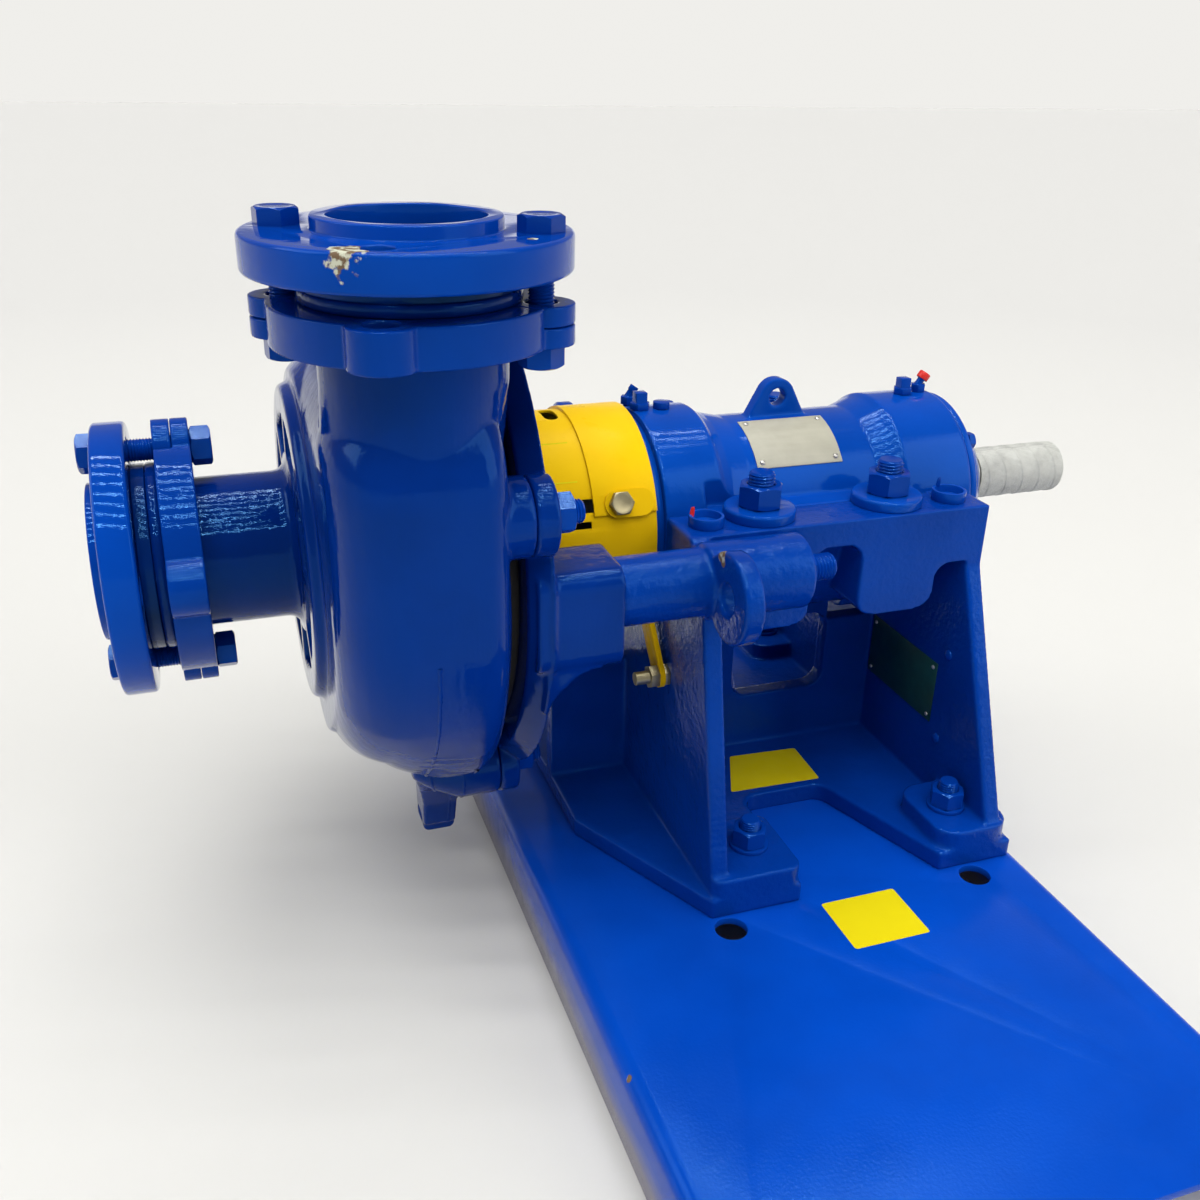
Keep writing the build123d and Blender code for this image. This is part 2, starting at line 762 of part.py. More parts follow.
# Shaft with its keyway, and what is fixed on it.
sleeve_wall = 5.0
shaft_body = sleeve_radius - sleeve_wall
impeller_thread = -26.0
end_break = 2.0
thread_step = 3.0
locknut_width = 7.0
locknut_wall = 9.0
locknut_slot = 5.0
seal_reach = 8.0
seal_front = pump_cover_front - seal_reach
key_end = 6.0
with BuildPart() as shaft:
    add(
        turned([
            (impeller_thread, 0),
            (impeller_thread, shaft_nose - end_break),
            (impeller_thread + end_break, shaft_nose),
            (sleeve_front, shaft_nose),
            (sleeve_front, shaft_body),
            (sleeve_rear, shaft_body),
            (sleeve_rear, bearing_inner),
            (drive_bearing + bearing_width + locknut_width + 1, bearing_inner),
            (drive_bearing + bearing_width + locknut_width + 1, bearing_inner - thread_step),
            (drive_shoulder, bearing_inner - thread_step),
            (drive_shoulder, drive_radius),
            (shaft_reach - end_break, drive_radius),
            (shaft_reach, drive_radius - end_break),
            (shaft_reach, 0),
        ])
    )
    key_seat = level(drive_radius - key_height / 2)
    with BuildSketch(key_seat):
        with Locations((shaft_reach - key_end - key_length / 2, 0)):
            SlotOverall(key_length, key_width)
    extrude(amount=key_height, mode=Mode.SUBTRACT)
save(shaft.part, "shaft")

shaft_sleeve = turned([
    (sleeve_front, shaft_body + running_gap),
    (sleeve_front, sleeve_radius - 1),
    (sleeve_front + 1, sleeve_radius),
    (sleeve_rear - 1, sleeve_radius),
    (sleeve_rear, sleeve_radius - 1),
    (sleeve_rear, shaft_body + running_gap),
])
save(shaft_sleeve, "shaft_sleeve")

with BuildPart() as shaft_seals:
    for start, stop, bore in (
        (seal_front, pump_bearing - 1, bearing_inner),
        (housing_rear, drive_cover_rear + end_break, bearing_inner - thread_step),
    ):
        add(
            turned([
                (start, bore + running_gap),
                (start, cover_bore - running_gap),
                (stop, cover_bore - running_gap),
                (stop, bore + running_gap),
            ])
        )
save(shaft_seals.part, "shaft_seals")

with BuildPart() as bearing_locknut:
    locknut_front = drive_bearing + bearing_width
    with BuildSketch(across(locknut_front)):
        Circle(bearing_inner + locknut_wall)
        Circle(bearing_inner + running_gap, mode=Mode.SUBTRACT)
        with PolarLocations(bearing_inner + locknut_wall, 4):
            Rectangle(locknut_slot, locknut_slot + end_break, mode=Mode.SUBTRACT)
    extrude(amount=locknut_width)
save(bearing_locknut.part, "bearing_locknut")

# Two roller bearings: outer rings stay in the housing, inner rings and rollers turn with the shaft.
inner_race = 6.0
outer_race = 5.0
race_inner = bearing_inner + inner_race
race_outer = bearing_outer - outer_race
roller_count = 16
for name, start in (("pump_bearing", pump_bearing), ("drive_bearing", drive_bearing)):
    outer_ring = turned([
        (start, race_outer),
        (start, bearing_outer),
        (start + bearing_width, bearing_outer),
        (start + bearing_width, race_outer),
    ])
    save(outer_ring, f"{name}_outer_ring")
    with BuildPart() as inner_ring:
        add(
            turned([
                (start, bearing_inner + running_gap),
                (start, race_inner),
                (start + bearing_width, race_inner),
                (start + bearing_width, bearing_inner + running_gap),
            ])
        )
        with BuildSketch(across(start + end_break)):
            with PolarLocations((race_inner + race_outer) / 2, roller_count):
                Circle((race_outer - race_inner) / 2 - running_gap)
        extrude(amount=bearing_width - 2 * end_break)
    save(inner_ring.part, f"{name}_inner_ring")

# Impeller: closed, its vanes swept back so that the flow rises on the near side.
impeller_hub = 30.0
hub_nose_reach = 6.0
vane_sweep = 62.0
vane_inset = 2.0
vane_root = 4.0
with BuildPart() as impeller:
    for start, stop, inner in (
        (-impeller_front, -impeller_front + shroud_thickness, eye_inner),
        (impeller_rear - shroud_thickness, impeller_rear, shaft_nose + running_gap),
    ):
        with BuildSketch(across(start)):
            Circle(impeller_radius)
            Circle(inner, mode=Mode.SUBTRACT)
        extrude(amount=stop - start)
    with BuildSketch(across(impeller_thread - hub_nose_reach)):
        Circle(impeller_hub)
    extrude(amount=impeller_rear - impeller_thread + hub_nose_reach)
    with BuildSketch(across(-impeller_front + shroud_thickness / 2)):
        with PolarLocations(0, vane_count):
            with BuildLine():
                root = (impeller_hub - vane_root, 0)
                tip = (
                    (impeller_radius - vane_inset) * cos(radians(vane_sweep)),
                    (impeller_radius - vane_inset) * sin(radians(vane_sweep)),
                )
                RadiusArc(root, tip, -impeller_radius * 0.62)
            trace(line_width=vane_thickness)
    extrude(amount=impeller_front + impeller_rear - shroud_thickness)
    with Locations(across(impeller_rear).location):
        Hole(shaft_nose + running_gap, depth=impeller_rear - impeller_thread)
save(impeller.part, "impeller")

# Casing: scroll body, suction hub with its neck, discharge neck, bosses and foot lug.
scroll_y = near_radius - near_reach
scroll_z = bottom_radius - near_radius
far_y = scroll_y + bottom_radius - far_radius
body_rear = 44.0
rim_front = 38.0
rim_radius = 169.0
neck_root = 40.0
neck_start = 174.0              # discharge neck narrows here for the clamp ring
ring_bore = neck_radius + 1.5
discharge_seat = discharge_face - flange_thickness - seal_thickness
suction_seat = suction_face - flange_thickness - seal_thickness
boss_front = 30.0
cavity_rear = 28.0
cavity_front = casing_front - casing_wall
throat_radius = 47.0
throat_front = 75.0
hub_round = 9.0
boss_taper_length = 34.0         # stud bosses fade into the scroll over this length
boss_taper = 24.0
foot_lug_front = 11.0
foot_lug_rear = 37.0
foot_lug_waist = -224.0          # where the lug starts to widen towards the scroll
foot_lug_top = -160.0
foot_lug_spread = 72.0           # half width at its top
foot_lug_flare = 18.0            # reach of the flare ahead of the lug
foot_lug_round = 15.0
wall_overlap = 4.0
neck_step = 3.0
pocket_rib = 12.0
span_over = 10.0


def scroll(inset):
    """Outline of the scroll, seen along the shaft, moved inwards by a wall thickness."""
    with BuildSketch() as outline:
        with BuildLine():
            near = -near_reach + inset
            corner_y = -port_offset
            corner_round = near_reach - port_offset - inset
            crest = scroll_z + far_radius - inset
            CenterArc((scroll_y, 0), near_radius - inset, 180, 90)
            CenterArc((scroll_y, scroll_z), bottom_radius - inset, 270, 90)
            CenterArc((far_y, scroll_z), far_radius - inset, 0, 90)
            Line((far_y, crest), (corner_y, crest))
            CenterArc((corner_y, crest - corner_round), corner_round, 90, 90)
            Line((near, crest - corner_round), (near, 0))
        make_face()
    return outline.sketch


stud_spots = [
    (stud_circle * cos(radians(90 * k - stud_turn)), stud_circle * sin(radians(90 * k - stud_turn)))
    for k in range(4)
]
with BuildPart() as chamber:
    with BuildSketch(across(-cavity_front)):
        add(scroll(casing_wall))
    extrude(amount=cavity_front + cavity_rear)
    fillet(chamber.faces().sort_by(Axis.X)[0].edges(), front_round - casing_wall)

with BuildPart() as volute_casing:
    with BuildSketch(across(-casing_front)):
        add(scroll(0))
    extrude(amount=casing_front + body_rear)
    front_edges = volute_casing.faces().sort_by(Axis.X)[0].edges()
    fillet(front_edges, front_round)
    rear_edges = volute_casing.faces().sort_by(Axis.X)[-1].edges()
    fillet(rear_edges, rear_round)
    # rim that the adapter ring faces, with four stud bosses that fade into the scroll
    with BuildSketch(across(rim_front)):
        Circle(rim_radius)
    extrude(amount=casing_rear - rim_front)
    with BuildSketch(across(boss_front)):
        with Locations(*stud_spots):
            Circle(stud_boss)
    extrude(amount=ring_front - boss_front)
    with BuildSketch(across(boss_front)):
        with Locations(*stud_spots):
            Circle(stud_boss)
    extrude(amount=-boss_taper_length, taper=boss_taper)
    # suction cover disc, hub, neck and collar
    add(
        turned([
            (-rear_round, 0),
            (-rear_round, shoulder_radius),
            (-casing_front + shoulder_round, shoulder_radius),
            (-casing_front, shoulder_radius - shoulder_round),
            (-casing_front, cover_radius + end_break),
            (-cover_front + end_break, cover_radius),
            (-cover_front, cover_radius - end_break),
            (-cover_front, neck_radius),
            (-suction_seat + collar_thickness, neck_radius),
            (-suction_seat + collar_thickness, collar_radius),
            (-suction_seat, collar_radius),
            (-suction_seat, 0),
        ])
    )
    neck_corner = volute_casing.edges().filter_by(GeomType.CIRCLE).filter_by_position(
        Axis.X, pump_x - cover_front - seat_gap, pump_x - cover_front + seat_gap
    ).sort_by(SortBy.RADIUS)[0]
    fillet(neck_corner, hub_round)
    # discharge neck and collar
    with BuildSketch(port(neck_root)):
        with Locations(((body_rear - casing_front) / 2, 0)):
            Ellipse((body_rear + casing_front) / 2, port_radius)
    with BuildSketch(port(scroll_z + far_radius)):
        Circle(port_radius)
    loft()
    with BuildSketch(port(scroll_z + far_radius)):
        Circle(port_radius)
    extrude(amount=neck_start - neck_step - scroll_z - far_radius)
    with BuildSketch(port(neck_start - neck_step)):
        Circle(neck_radius)
    extrude(amount=discharge_seat - neck_start + neck_step)
    with BuildSketch(port(discharge_seat - collar_thickness)):
        Circle(collar_radius)
    extrude(amount=collar_thickness)
    # foot lug: its outline along the shaft and its outline across it, common to both
    with BuildSketch(across(foot_lug_front - foot_lug_flare)):
        with BuildLine():
            Polyline(
                (foot_lug_y - foot_lug_width / 2, -foot_lug_reach),
                (foot_lug_y - foot_lug_width / 2, foot_lug_waist),
                (foot_lug_y - foot_lug_spread, foot_lug_top),
                (foot_lug_y + foot_lug_spread, foot_lug_top),
                (foot_lug_y + foot_lug_width / 2, foot_lug_waist),
                (foot_lug_y + foot_lug_width / 2, -foot_lug_reach),
                close=True,
            )
        make_face()
    lug_across = extrude(amount=body_rear - foot_lug_front + foot_lug_flare, mode=Mode.PRIVATE)
    with BuildSketch(lengthways) as lug_outline:
        with BuildLine():
            Polyline(
                (foot_lug_front, -foot_lug_reach),
                (foot_lug_front, foot_lug_waist),
                (foot_lug_front - foot_lug_flare, foot_lug_top),
                (body_rear, foot_lug_top),
                (foot_lug_rear, foot_lug_waist),
                (foot_lug_rear, -foot_lug_reach),
                close=True,
            )
        make_face()
        lug_corners = lug_outline.vertices().sort_by(Axis.Y)[:2]
        fillet(lug_corners, wall_overlap)
    lug_along = extrude(amount=near_reach, both=True, mode=Mode.PRIVATE)
    add(lug_across & lug_along)
    # waterways: scroll chamber, suction bore, discharge bore, rear opening
    add(chamber.part, mode=Mode.SUBTRACT)
    with BuildSketch(across(-suction_seat)):
        Circle(neck_bore)
    extrude(amount=suction_seat, mode=Mode.SUBTRACT)
    with BuildSketch(across(-throat_front)):
        Circle(throat_radius + running_gap)
    extrude(amount=throat_front, mode=Mode.SUBTRACT)
    with BuildSketch(port(0)):
        Circle(neck_bore)
    extrude(amount=discharge_seat, mode=Mode.SUBTRACT)
    with BuildSketch(across(cavity_rear - 1)):
        Circle(rear_opening)
    extrude(amount=casing_rear, mode=Mode.SUBTRACT)
    # cast pockets in the cover disc
    with BuildSketch(across(-cover_front)):
        Circle(pocket_outer)
        Circle(pocket_inner, mode=Mode.SUBTRACT)
        with PolarLocations(0, pocket_count):
            with Locations((pocket_outer / 2 + span_over, 0)):
                Rectangle(pocket_outer + 2 * span_over, pocket_rib, mode=Mode.SUBTRACT)
    extrude(amount=pocket_depth, mode=Mode.SUBTRACT)
    # holes for the casing studs and in the foot lug
    with Locations(across(ring_front).location):
        with Locations(*stud_spots):
            Hole(m16_shank / 2 + running_gap, depth=ring_front - boss_front - wall_overlap)
        with Locations((foot_lug_y, -foot_lug_reach + foot_lug_round)):
            Hole(foot_lug_hole / 2, depth=ring_front)
save(volute_casing.part, "volute_casing")

# Throatbush: wear plate between the impeller's eye and the suction neck.
throat_plate = 103.0
throat_end = throat_front - seat_gap
impeller_gap = 2.2
with BuildPart() as throatbush:
    add(
        turned([
            (-throat_end, neck_bore),
            (-throat_end, throat_radius),
            (-cavity_front, throat_radius),
            (-cavity_front, throat_plate),
            (-impeller_front - impeller_gap, throat_plate),
            (-impeller_front - impeller_gap, neck_bore),
        ])
    )
save(throatbush.part, "throatbush")

# Stuffing box: closes the casing at the back and carries the packing.
box_flange = 150.0
box_spigot_end = 70.0
neck_bush = sleeve_radius + seat_gap
packing_front = 44.0
box_end_front = 90.0
box_end_radius = 62.0
box_fit = 0.1
box_web = 14.0
spigot_rim = 10.0
with BuildPart() as stuffing_box:
    add(
        turned([
            (box_front, neck_bush),
            (box_front, rear_opening - box_fit),
            (casing_rear, rear_opening - box_fit),
            (casing_rear, box_flange),
            (ring_front, box_flange),
            (ring_front, adapter_bore - box_fit),
            (box_spigot_end, adapter_bore - box_fit),
            (box_spigot_end, adapter_bore - spigot_rim),
            (casing_rear, adapter_bore - box_web),
            (casing_rear, box_radius),
            (box_end_front, box_radius),
            (box_end_front, box_end_radius),
            (box_rear, box_end_radius),
            (box_rear, packing_radius),
            (packing_front, packing_radius),
            (packing_front, neck_bush),
        ])
    )
    with Locations(across(box_rear).location):
        with Locations((-gland_stud_offset, 0), (gland_stud_offset, 0)):
            Hole(m10_shank / 2 + running_gap, depth=box_rear - box_end_front - 1)
save(stuffing_box.part, "stuffing_box")

packing_clear = 0.1
lantern_front = packing_front + packing_width
lantern_width = 12.0
lantern_air = 0.4
lantern_edge = 3.0
with BuildPart() as packing_rings:
    starts = [packing_front + packing_clear] + [
        lantern_front + lantern_width + packing_width * k + packing_clear for k in range(3)
    ]
    for start in starts:
        with BuildSketch(across(start)):
            Circle(packing_radius - packing_clear)
            Circle(sleeve_radius + packing_clear, mode=Mode.SUBTRACT)
        extrude(amount=packing_width - 2 * packing_clear)
save(packing_rings.part, "packing_rings")

with BuildPart() as lantern_ring:
    with BuildSketch(across(lantern_front)):
        Circle(packing_radius - packing_clear)
        Circle(sleeve_radius + lantern_air, mode=Mode.SUBTRACT)
    extrude(amount=lantern_width)
    with BuildSketch(across(lantern_front + lantern_edge)):
        Circle(packing_radius)
        Circle(packing_radius - lantern_edge, mode=Mode.SUBTRACT)
    extrude(amount=lantern_width - 2 * lantern_edge, mode=Mode.SUBTRACT)
save(lantern_ring.part, "lantern_ring")

# Gland follower on two studs.
gland_nose = packing_front + lantern_width + 4 * packing_width + seat_gap
gland_front = 108.0
gland_rear = 120.0
gland_half = 64.0
gland_width = 28.0
gland_radius = 42.0
gland_air = 0.5
with BuildPart() as gland:
    with BuildSketch(across(gland_nose)):
        Circle(packing_radius - seat_gap)
    extrude(amount=gland_front - gland_nose)
    with BuildSketch(across(gland_front)):
        SlotOverall(2 * gland_half, gland_width)
        Circle(gland_radius)
    extrude(amount=gland_rear - gland_front)
    with Locations(across(gland_rear).location):
        Hole(sleeve_radius + gland_air, depth=gland_rear - gland_nose + 1)
        with Locations((-gland_stud_offset, 0), (gland_stud_offset, 0)):
            Hole(m10_shank / 2 + bolt_gap, depth=gland_rear - gland_front)
save(gland.part, "gland")

gland_stud_seat = 2.0
gland_stud_front = box_end_front + gland_stud_seat
gland_stud_rear = 145.0
gland_stud_planes = [
    Plane(origin=across(gland_stud_front).from_local_coords((y, 0, 0)), z_dir=(1, 0, 0))
    for y in (-gland_stud_offset, gland_stud_offset)
]
gland_studs = placed(stud(m10_shank, gland_stud_rear - gland_stud_front), gland_stud_planes)
save(gland_studs, "gland_studs")
gland_nut_planes = [place.offset(gland_rear - gland_stud_front) for place in gland_stud_planes]
save(placed(hex_nut(m10_flats, m10_nut, m10_shank), gland_nut_planes), "gland_nuts")

# Adapter ring: joins the casing to the pedestal's two guide bars.
ring_taper = 14.0
arm_root = 4.0                  # arms start this far into the ring
arm_round = 12.0
arm_hole_depth = 34.0
gusset_round = 34.0             # hollow under the near arm where it meets the ring
gusset_half = 26.0
with BuildPart() as adapter_ring:
    add(
        turned([
            (ring_front, adapter_bore),
            (ring_front, adapter_radius - ring_taper),
            (ring_rear, adapter_radius),
            (ring_rear, adapter_bore),
        ])
    )
    with BuildSketch(across(ring_front)):
        with Locations(*stud_spots):
            Circle(stud_boss)
    extrude(amount=ring_rear - ring_front)
    arm_height = arm_top - arm_bottom
    arm_middle = (arm_top + arm_bottom) / 2
    with BuildSketch(across(ring_front + arm_root)):
        with Locations((-arm_offset, arm_middle), (arm_offset, arm_middle)):
            RectangleRounded(2 * arm_half_width, arm_height, arm_round)
    extrude(amount=arm_end - ring_front - arm_root)
    # hollow gusset under the near arm, inside the ring's rim; a stud takes its place under the far one
    with BuildSketch(lengthways):
        with BuildLine():
            gusset_top = arm_bottom + arm_round
            gusset_foot = arm_bottom - gusset_round
            arm_spot = (ring_rear + gusset_round, arm_bottom)
            CenterArc((arm_spot[0], gusset_foot), gusset_round, 90, 90)
            Polyline(
                (ring_rear, gusset_foot),
                (ring_rear - arm_root, gusset_foot),
                (ring_rear - arm_root, gusset_top),
                (arm_end - arm_round, gusset_top),
                arm_spot,
            )
        make_face()
    gusset = extrude(amount=gusset_half, both=True, mode=Mode.PRIVATE)
    with BuildSketch(across(ring_rear - arm_root)):
        Circle(adapter_radius)
    rim_space = extrude(amount=arm_end - ring_rear, mode=Mode.PRIVATE)
    add(Pos(0, -arm_offset, 0) * gusset & rim_space)
    with Locations(across(ring_rear).location):
        with Locations(*stud_spots):
            Hole(m16_shank / 2 + bolt_gap, depth=ring_rear - ring_front)
    with Locations(across(arm_end).location):
        with Locations((-arm_offset, 0), (arm_offset, 0)):
            Hole(m20_shank / 2 + running_gap, depth=arm_hole_depth)
save(adapter_ring.part, "adapter_ring")

stud_seat = 6.0
casing_stud_front = boss_front + stud_seat
casing_stud_planes = [
    Plane(origin=across(casing_stud_front).from_local_coords((y, z, 0)), z_dir=(1, 0, 0))
    for y, z in stud_spots
]
casing_stud_length = ring_rear + m16_nut + thread_stub - casing_stud_front
save(placed(stud(m16_shank, casing_stud_length), casing_stud_planes), "casing_studs")
casing_nut_planes = [place.offset(ring_rear - casing_stud_front) for place in casing_stud_planes]
save(placed(hex_nut(m16_flats, m16_nut, m16_shank), casing_nut_planes), "casing_nuts")

arm_stud_seat = 32.0
arm_stud_front = arm_end - arm_stud_seat
thin_nut = 7.0
arm_stud_planes = [
    Plane(origin=across(arm_stud_front).from_local_coords((side * arm_offset, 0, 0)), z_dir=(1, 0, 0))
    for side in (-1, 1)
]
arm_stud_length = bar_boss_end + thin_nut + thread_stub - arm_stud_front
save(placed(stud(m20_shank, arm_stud_length), arm_stud_planes), "arm_studs")
arm_nut_planes = [place.offset(bar_boss_end - arm_stud_front) for place in arm_stud_planes]
save(placed(hex_nut(m20_flats, thin_nut, m20_shank), arm_nut_planes), "arm_nuts")

# Loose flanges, each held to a casing neck by two half rings behind the collar.
ring_front_face = discharge_seat - collar_thickness - ring_thickness
inlet_ring_face = suction_seat - collar_thickness - ring_thickness
lug_gap = 0.5
layer_gap = 0.2
half_layer = ring_thickness / 2 - layer_gap
edge_break = 1.5
with BuildPart() as loose_flange:
    with BuildSketch():
        Circle(flange_radius)
    extrude(amount=flange_thickness)
    chamfer(loose_flange.edges(), edge_break)
    with BuildSketch(Plane.XY.offset(flange_thickness)):
        Circle(lip_radius)
    extrude(amount=lip_height)
    with Locations(Plane.XY.offset(flange_thickness + lip_height).location):
        Hole(flange_bore)
        with PolarLocations(bolt_circle, 4):
            Hole(bolt_hole / 2)
with BuildPart() as half_ring:
    with BuildSketch():
        Circle(ring_radius)
        with Locations((0, bolt_circle)):
            Circle(ring_lug_radius)
        with Locations((0, bolt_circle / 2)):
            Rectangle(2 * ring_lug_radius, bolt_circle)
        with Locations((0, -ring_radius + seat_gap)):
            Rectangle(2 * ring_radius, 2 * ring_radius, mode=Mode.SUBTRACT)
    extrude(amount=ring_thickness)
    for side, bottom in ((1, 0), (-1, ring_thickness / 2)):
        with BuildSketch(Plane.XY.offset(bottom)):
            with Locations((side * bolt_circle, 0)):
                Circle(ring_lug_radius + lug_gap)
        extrude(amount=ring_thickness / 2, mode=Mode.SUBTRACT)
    for side, bottom in ((1, ring_thickness / 2 + layer_gap), (-1, 0)):
        with BuildSketch(Plane.XY.offset(bottom)):
            with Locations((side * bolt_circle, 0)):
                Circle(ring_lug_radius)
        extrude(amount=half_layer)
    with Locations(Plane.XY.offset(ring_thickness).location):
        Hole(ring_bore)
        with Locations((bolt_circle, 0), (-bolt_circle, 0), (0, bolt_circle)):
            Hole(bolt_hole / 2)
with BuildPart() as joint_seal:
    with BuildSketch():
        Circle(seal_outer)
        Circle(seal_inner, mode=Mode.SUBTRACT)
    extrude(amount=seal_thickness)

flange_base = discharge_face - flange_thickness
save(placed(loose_flange.part, [port(flange_base, discharge_turn)]), "discharge_flange")
inlet_base = suction_face - flange_thickness
save(placed(loose_flange.part, [inlet(inlet_base, suction_turn)]), "suction_flange")
save(placed(half_ring.part, [port(ring_front_face, discharge_turn + 180)]), "discharge_ring_front")
save(placed(half_ring.part, [port(ring_front_face, discharge_turn)]), "discharge_ring_rear")
save(placed(half_ring.part, [inlet(inlet_ring_face, suction_turn + 180)]), "suction_ring_near")
save(placed(half_ring.part, [inlet(inlet_ring_face, suction_turn)]), "suction_ring_far")
save(placed(joint_seal.part, [port(discharge_seat), inlet(suction_seat)]), "joint_seals")

flange_bolt_length = discharge_face - ring_front_face + m16_nut + thread_stub
flange_bolt_planes = []
flange_nut_planes = []
for face_plane, ring_plane in (
    (port(discharge_face, discharge_turn), port(ring_front_face, discharge_turn)),
    (inlet(suction_face, suction_turn), inlet(inlet_ring_face, suction_turn)),
):
    for side in (-1, 1):
        head_spot = face_plane.from_local_coords((side * bolt_circle, 0, 0))
        nut_spot = ring_plane.from_local_coords((side * bolt_circle, 0, 0))
        flange_bolt_planes.append(Plane(origin=head_spot, x_dir=face_plane.x_dir, z_dir=face_plane.z_dir))
        flange_nut_planes.append(Plane(origin=nut_spot, x_dir=ring_plane.x_dir, z_dir=-ring_plane.z_dir))
flange_bolt = hex_bolt(m16_flats, m16_head, m16_shank, flange_bolt_length)
save(placed(flange_bolt, flange_bolt_planes), "flange_bolts")
save(placed(hex_nut(m16_flats, m16_nut, m16_shank), flange_nut_planes), "flange_nuts")

# Clamps that hold the bearing housing's ledges down on the rails.
clamp_spots = [(x, side * clamp_offset) for x in (clamp_front, clamp_rear) for side in (-1, 1)]
clamp_washer_thickness = 8.0
clamp_stud_top = 56.0
clamp_bottom = rail_top - clamp_stud_depth + end_break
clamp_stud_planes = [
    Plane(origin=level(clamp_bottom).from_local_coords((x, y, 0))) for x, y in clamp_spots
]
save(placed(stud(m20_shank, clamp_stud_top - clamp_bottom), clamp_stud_planes), "clamp_studs")
with BuildPart() as clamp_washer:
    with BuildSketch():
        Circle(clamp_washer_radius)
        Circle(m20_shank / 2 + running_gap, mode=Mode.SUBTRACT)
    extrude(amount=clamp_washer_thickness)
    chamfer(clamp_washer.edges().group_by(Axis.Z)[-1], edge_break)
clamp_washer_planes = [place.offset(rail_top - clamp_bottom) for place in clamp_stud_planes]
save(placed(clamp_washer.part, clamp_washer_planes), "clamp_washers")
clamp_nut_planes = [place.offset(clamp_washer_thickness) for place in clamp_washer_planes]
save(placed(hex_nut(m20_flats, m20_nut, m20_shank), clamp_nut_planes), "clamp_nuts")

# Screw that moves the bearing housing along the rails to set the impeller.
screw_head = casting_rear
screw_reach = 7.0                # past the front of the adjusting lug
screw_front = adjust_lug_front - screw_reach
adjust_plane = Plane(origin=across(screw_head).from_local_coords((0, -adjust_depth, 0)), z_dir=(1, 0, 0))
adjusting_screw = placed(hex_bolt(m16_flats, m16_head, m16_shank, screw_head - screw_front), [adjust_plane])
save(adjusting_screw, "adjusting_screw")

# Grease plugs, a flat button and two angled nipples on the housing, one nipple with a cap.
plug_flats = 14.0
plug_base = 5.0
plug_square = 9.0
plug_height = 13.0
button_radius = 6.5
button_height = 5.0
plug_lift = 0.1
with BuildPart() as grease_plugs:
    for x, y, seat in plug_spots + [button_spot]:
        place = Plane(origin=level(seat + plug_lift).from_local_coords((x, y, 0)))
        with BuildSketch(place):
            Circle(plug_stem)
        extrude(amount=-plug_depth)
        if (x, y, seat) == button_spot:
            with BuildSketch(place):
                Circle(button_radius)
            extrude(amount=button_height)
        else:
            with Locations(place.location):
                add(hex_prism(plug_flats, plug_base))
            with BuildSketch(place):
                Rectangle(plug_square, plug_square)
            extrude(amount=plug_height)
save(grease_plugs.part, "grease_plugs")

nipple_flats = 11.0
nipple_base = 6.0
nipple_neck = 3.0
nipple_tip = 3.6
nipple_lean = 35.0
nipple_reach = 9.0
cap_wall = 1.4
nipple_places = [
    Plane(origin=level(z + plug_lift).from_local_coords((x, y, 0))) for x, y, z in nipple_spots
]
tip_places = [
    Plane(
        origin=place.offset(nipple_base).origin,
        x_dir=(0, 1, 0),
        z_dir=(sin(radians(nipple_lean)), 0, cos(radians(nipple_lean))),
    )
    for place in nipple_places
]
with BuildPart() as grease_nipples:
    for place, tip in zip(nipple_places, tip_places):
        with BuildSketch(place):
            Circle(plug_stem)
        extrude(amount=-plug_depth)
        with Locations(place.location):
            add(hex_prism(nipple_flats, nipple_base))
        with BuildSketch(tip.offset(-end_break)):
            Circle(nipple_neck)
        extrude(amount=nipple_reach)
        with BuildSketch(tip.offset(nipple_reach / 2)):
            Circle(nipple_tip)
        extrude(amount=nipple_reach / 2)
save(grease_nipples.part, "grease_nipples")

with BuildPart() as nipple_cap:
    cap_place = tip_places[-1].offset(nipple_reach / 2)
    with BuildSketch(cap_place):
        Circle(nipple_tip + cap_wall)
    extrude(amount=nipple_reach / 2 + cap_wall + running_gap)
    with BuildSketch(cap_place):
        Circle(nipple_tip + running_gap)
    extrude(amount=nipple_reach / 2 + running_gap, mode=Mode.SUBTRACT)
save(nipple_cap.part, "nipple_cap")

# Open caps that plug the four spare tapped holes in the rails.
cap_radius = 13.0
cap_height = 8.0
cap_floor = 2.0
cap_rim = 2.5
cap_spots = [(x, side * cap_offset) for x in (cap_front, cap_rear) for side in (-1, 1)]
with BuildPart() as rail_cap:
    with BuildSketch():
        Circle(cap_radius)
    extrude(amount=cap_height)
    with BuildSketch(Plane.XY.offset(cap_floor)):
        Circle(cap_radius - cap_rim)
    extrude(amount=cap_height, mode=Mode.SUBTRACT)
    with BuildSketch():
        Circle(cap_stem)
    extrude(amount=-cap_hole_depth + 1)
cap_planes = [Plane(origin=level(rail_top).from_local_coords((x, y, 0))) for x, y in cap_spots]
save(placed(rail_cap.part, cap_planes), "rail_caps")

# Data plate on the barrel and bare plate on the rear web, both left blank.
plate_front = 275.0
plate_rear = 348.0
plate_low = 38.0
plate_high = 80.0
plate_sheet = 0.6
with BuildPart() as barrel_plate:
    with BuildSketch(across(plate_front)):
        with BuildLine():
            plate_radius = barrel_radius + running_gap + plate_sheet / 2
            CenterArc((0, 0), plate_radius, 180 - plate_high, plate_high - plate_low)
        trace(line_width=plate_sheet)
    extrude(amount=plate_rear - plate_front)
save(barrel_plate.part, "barrel_plate")

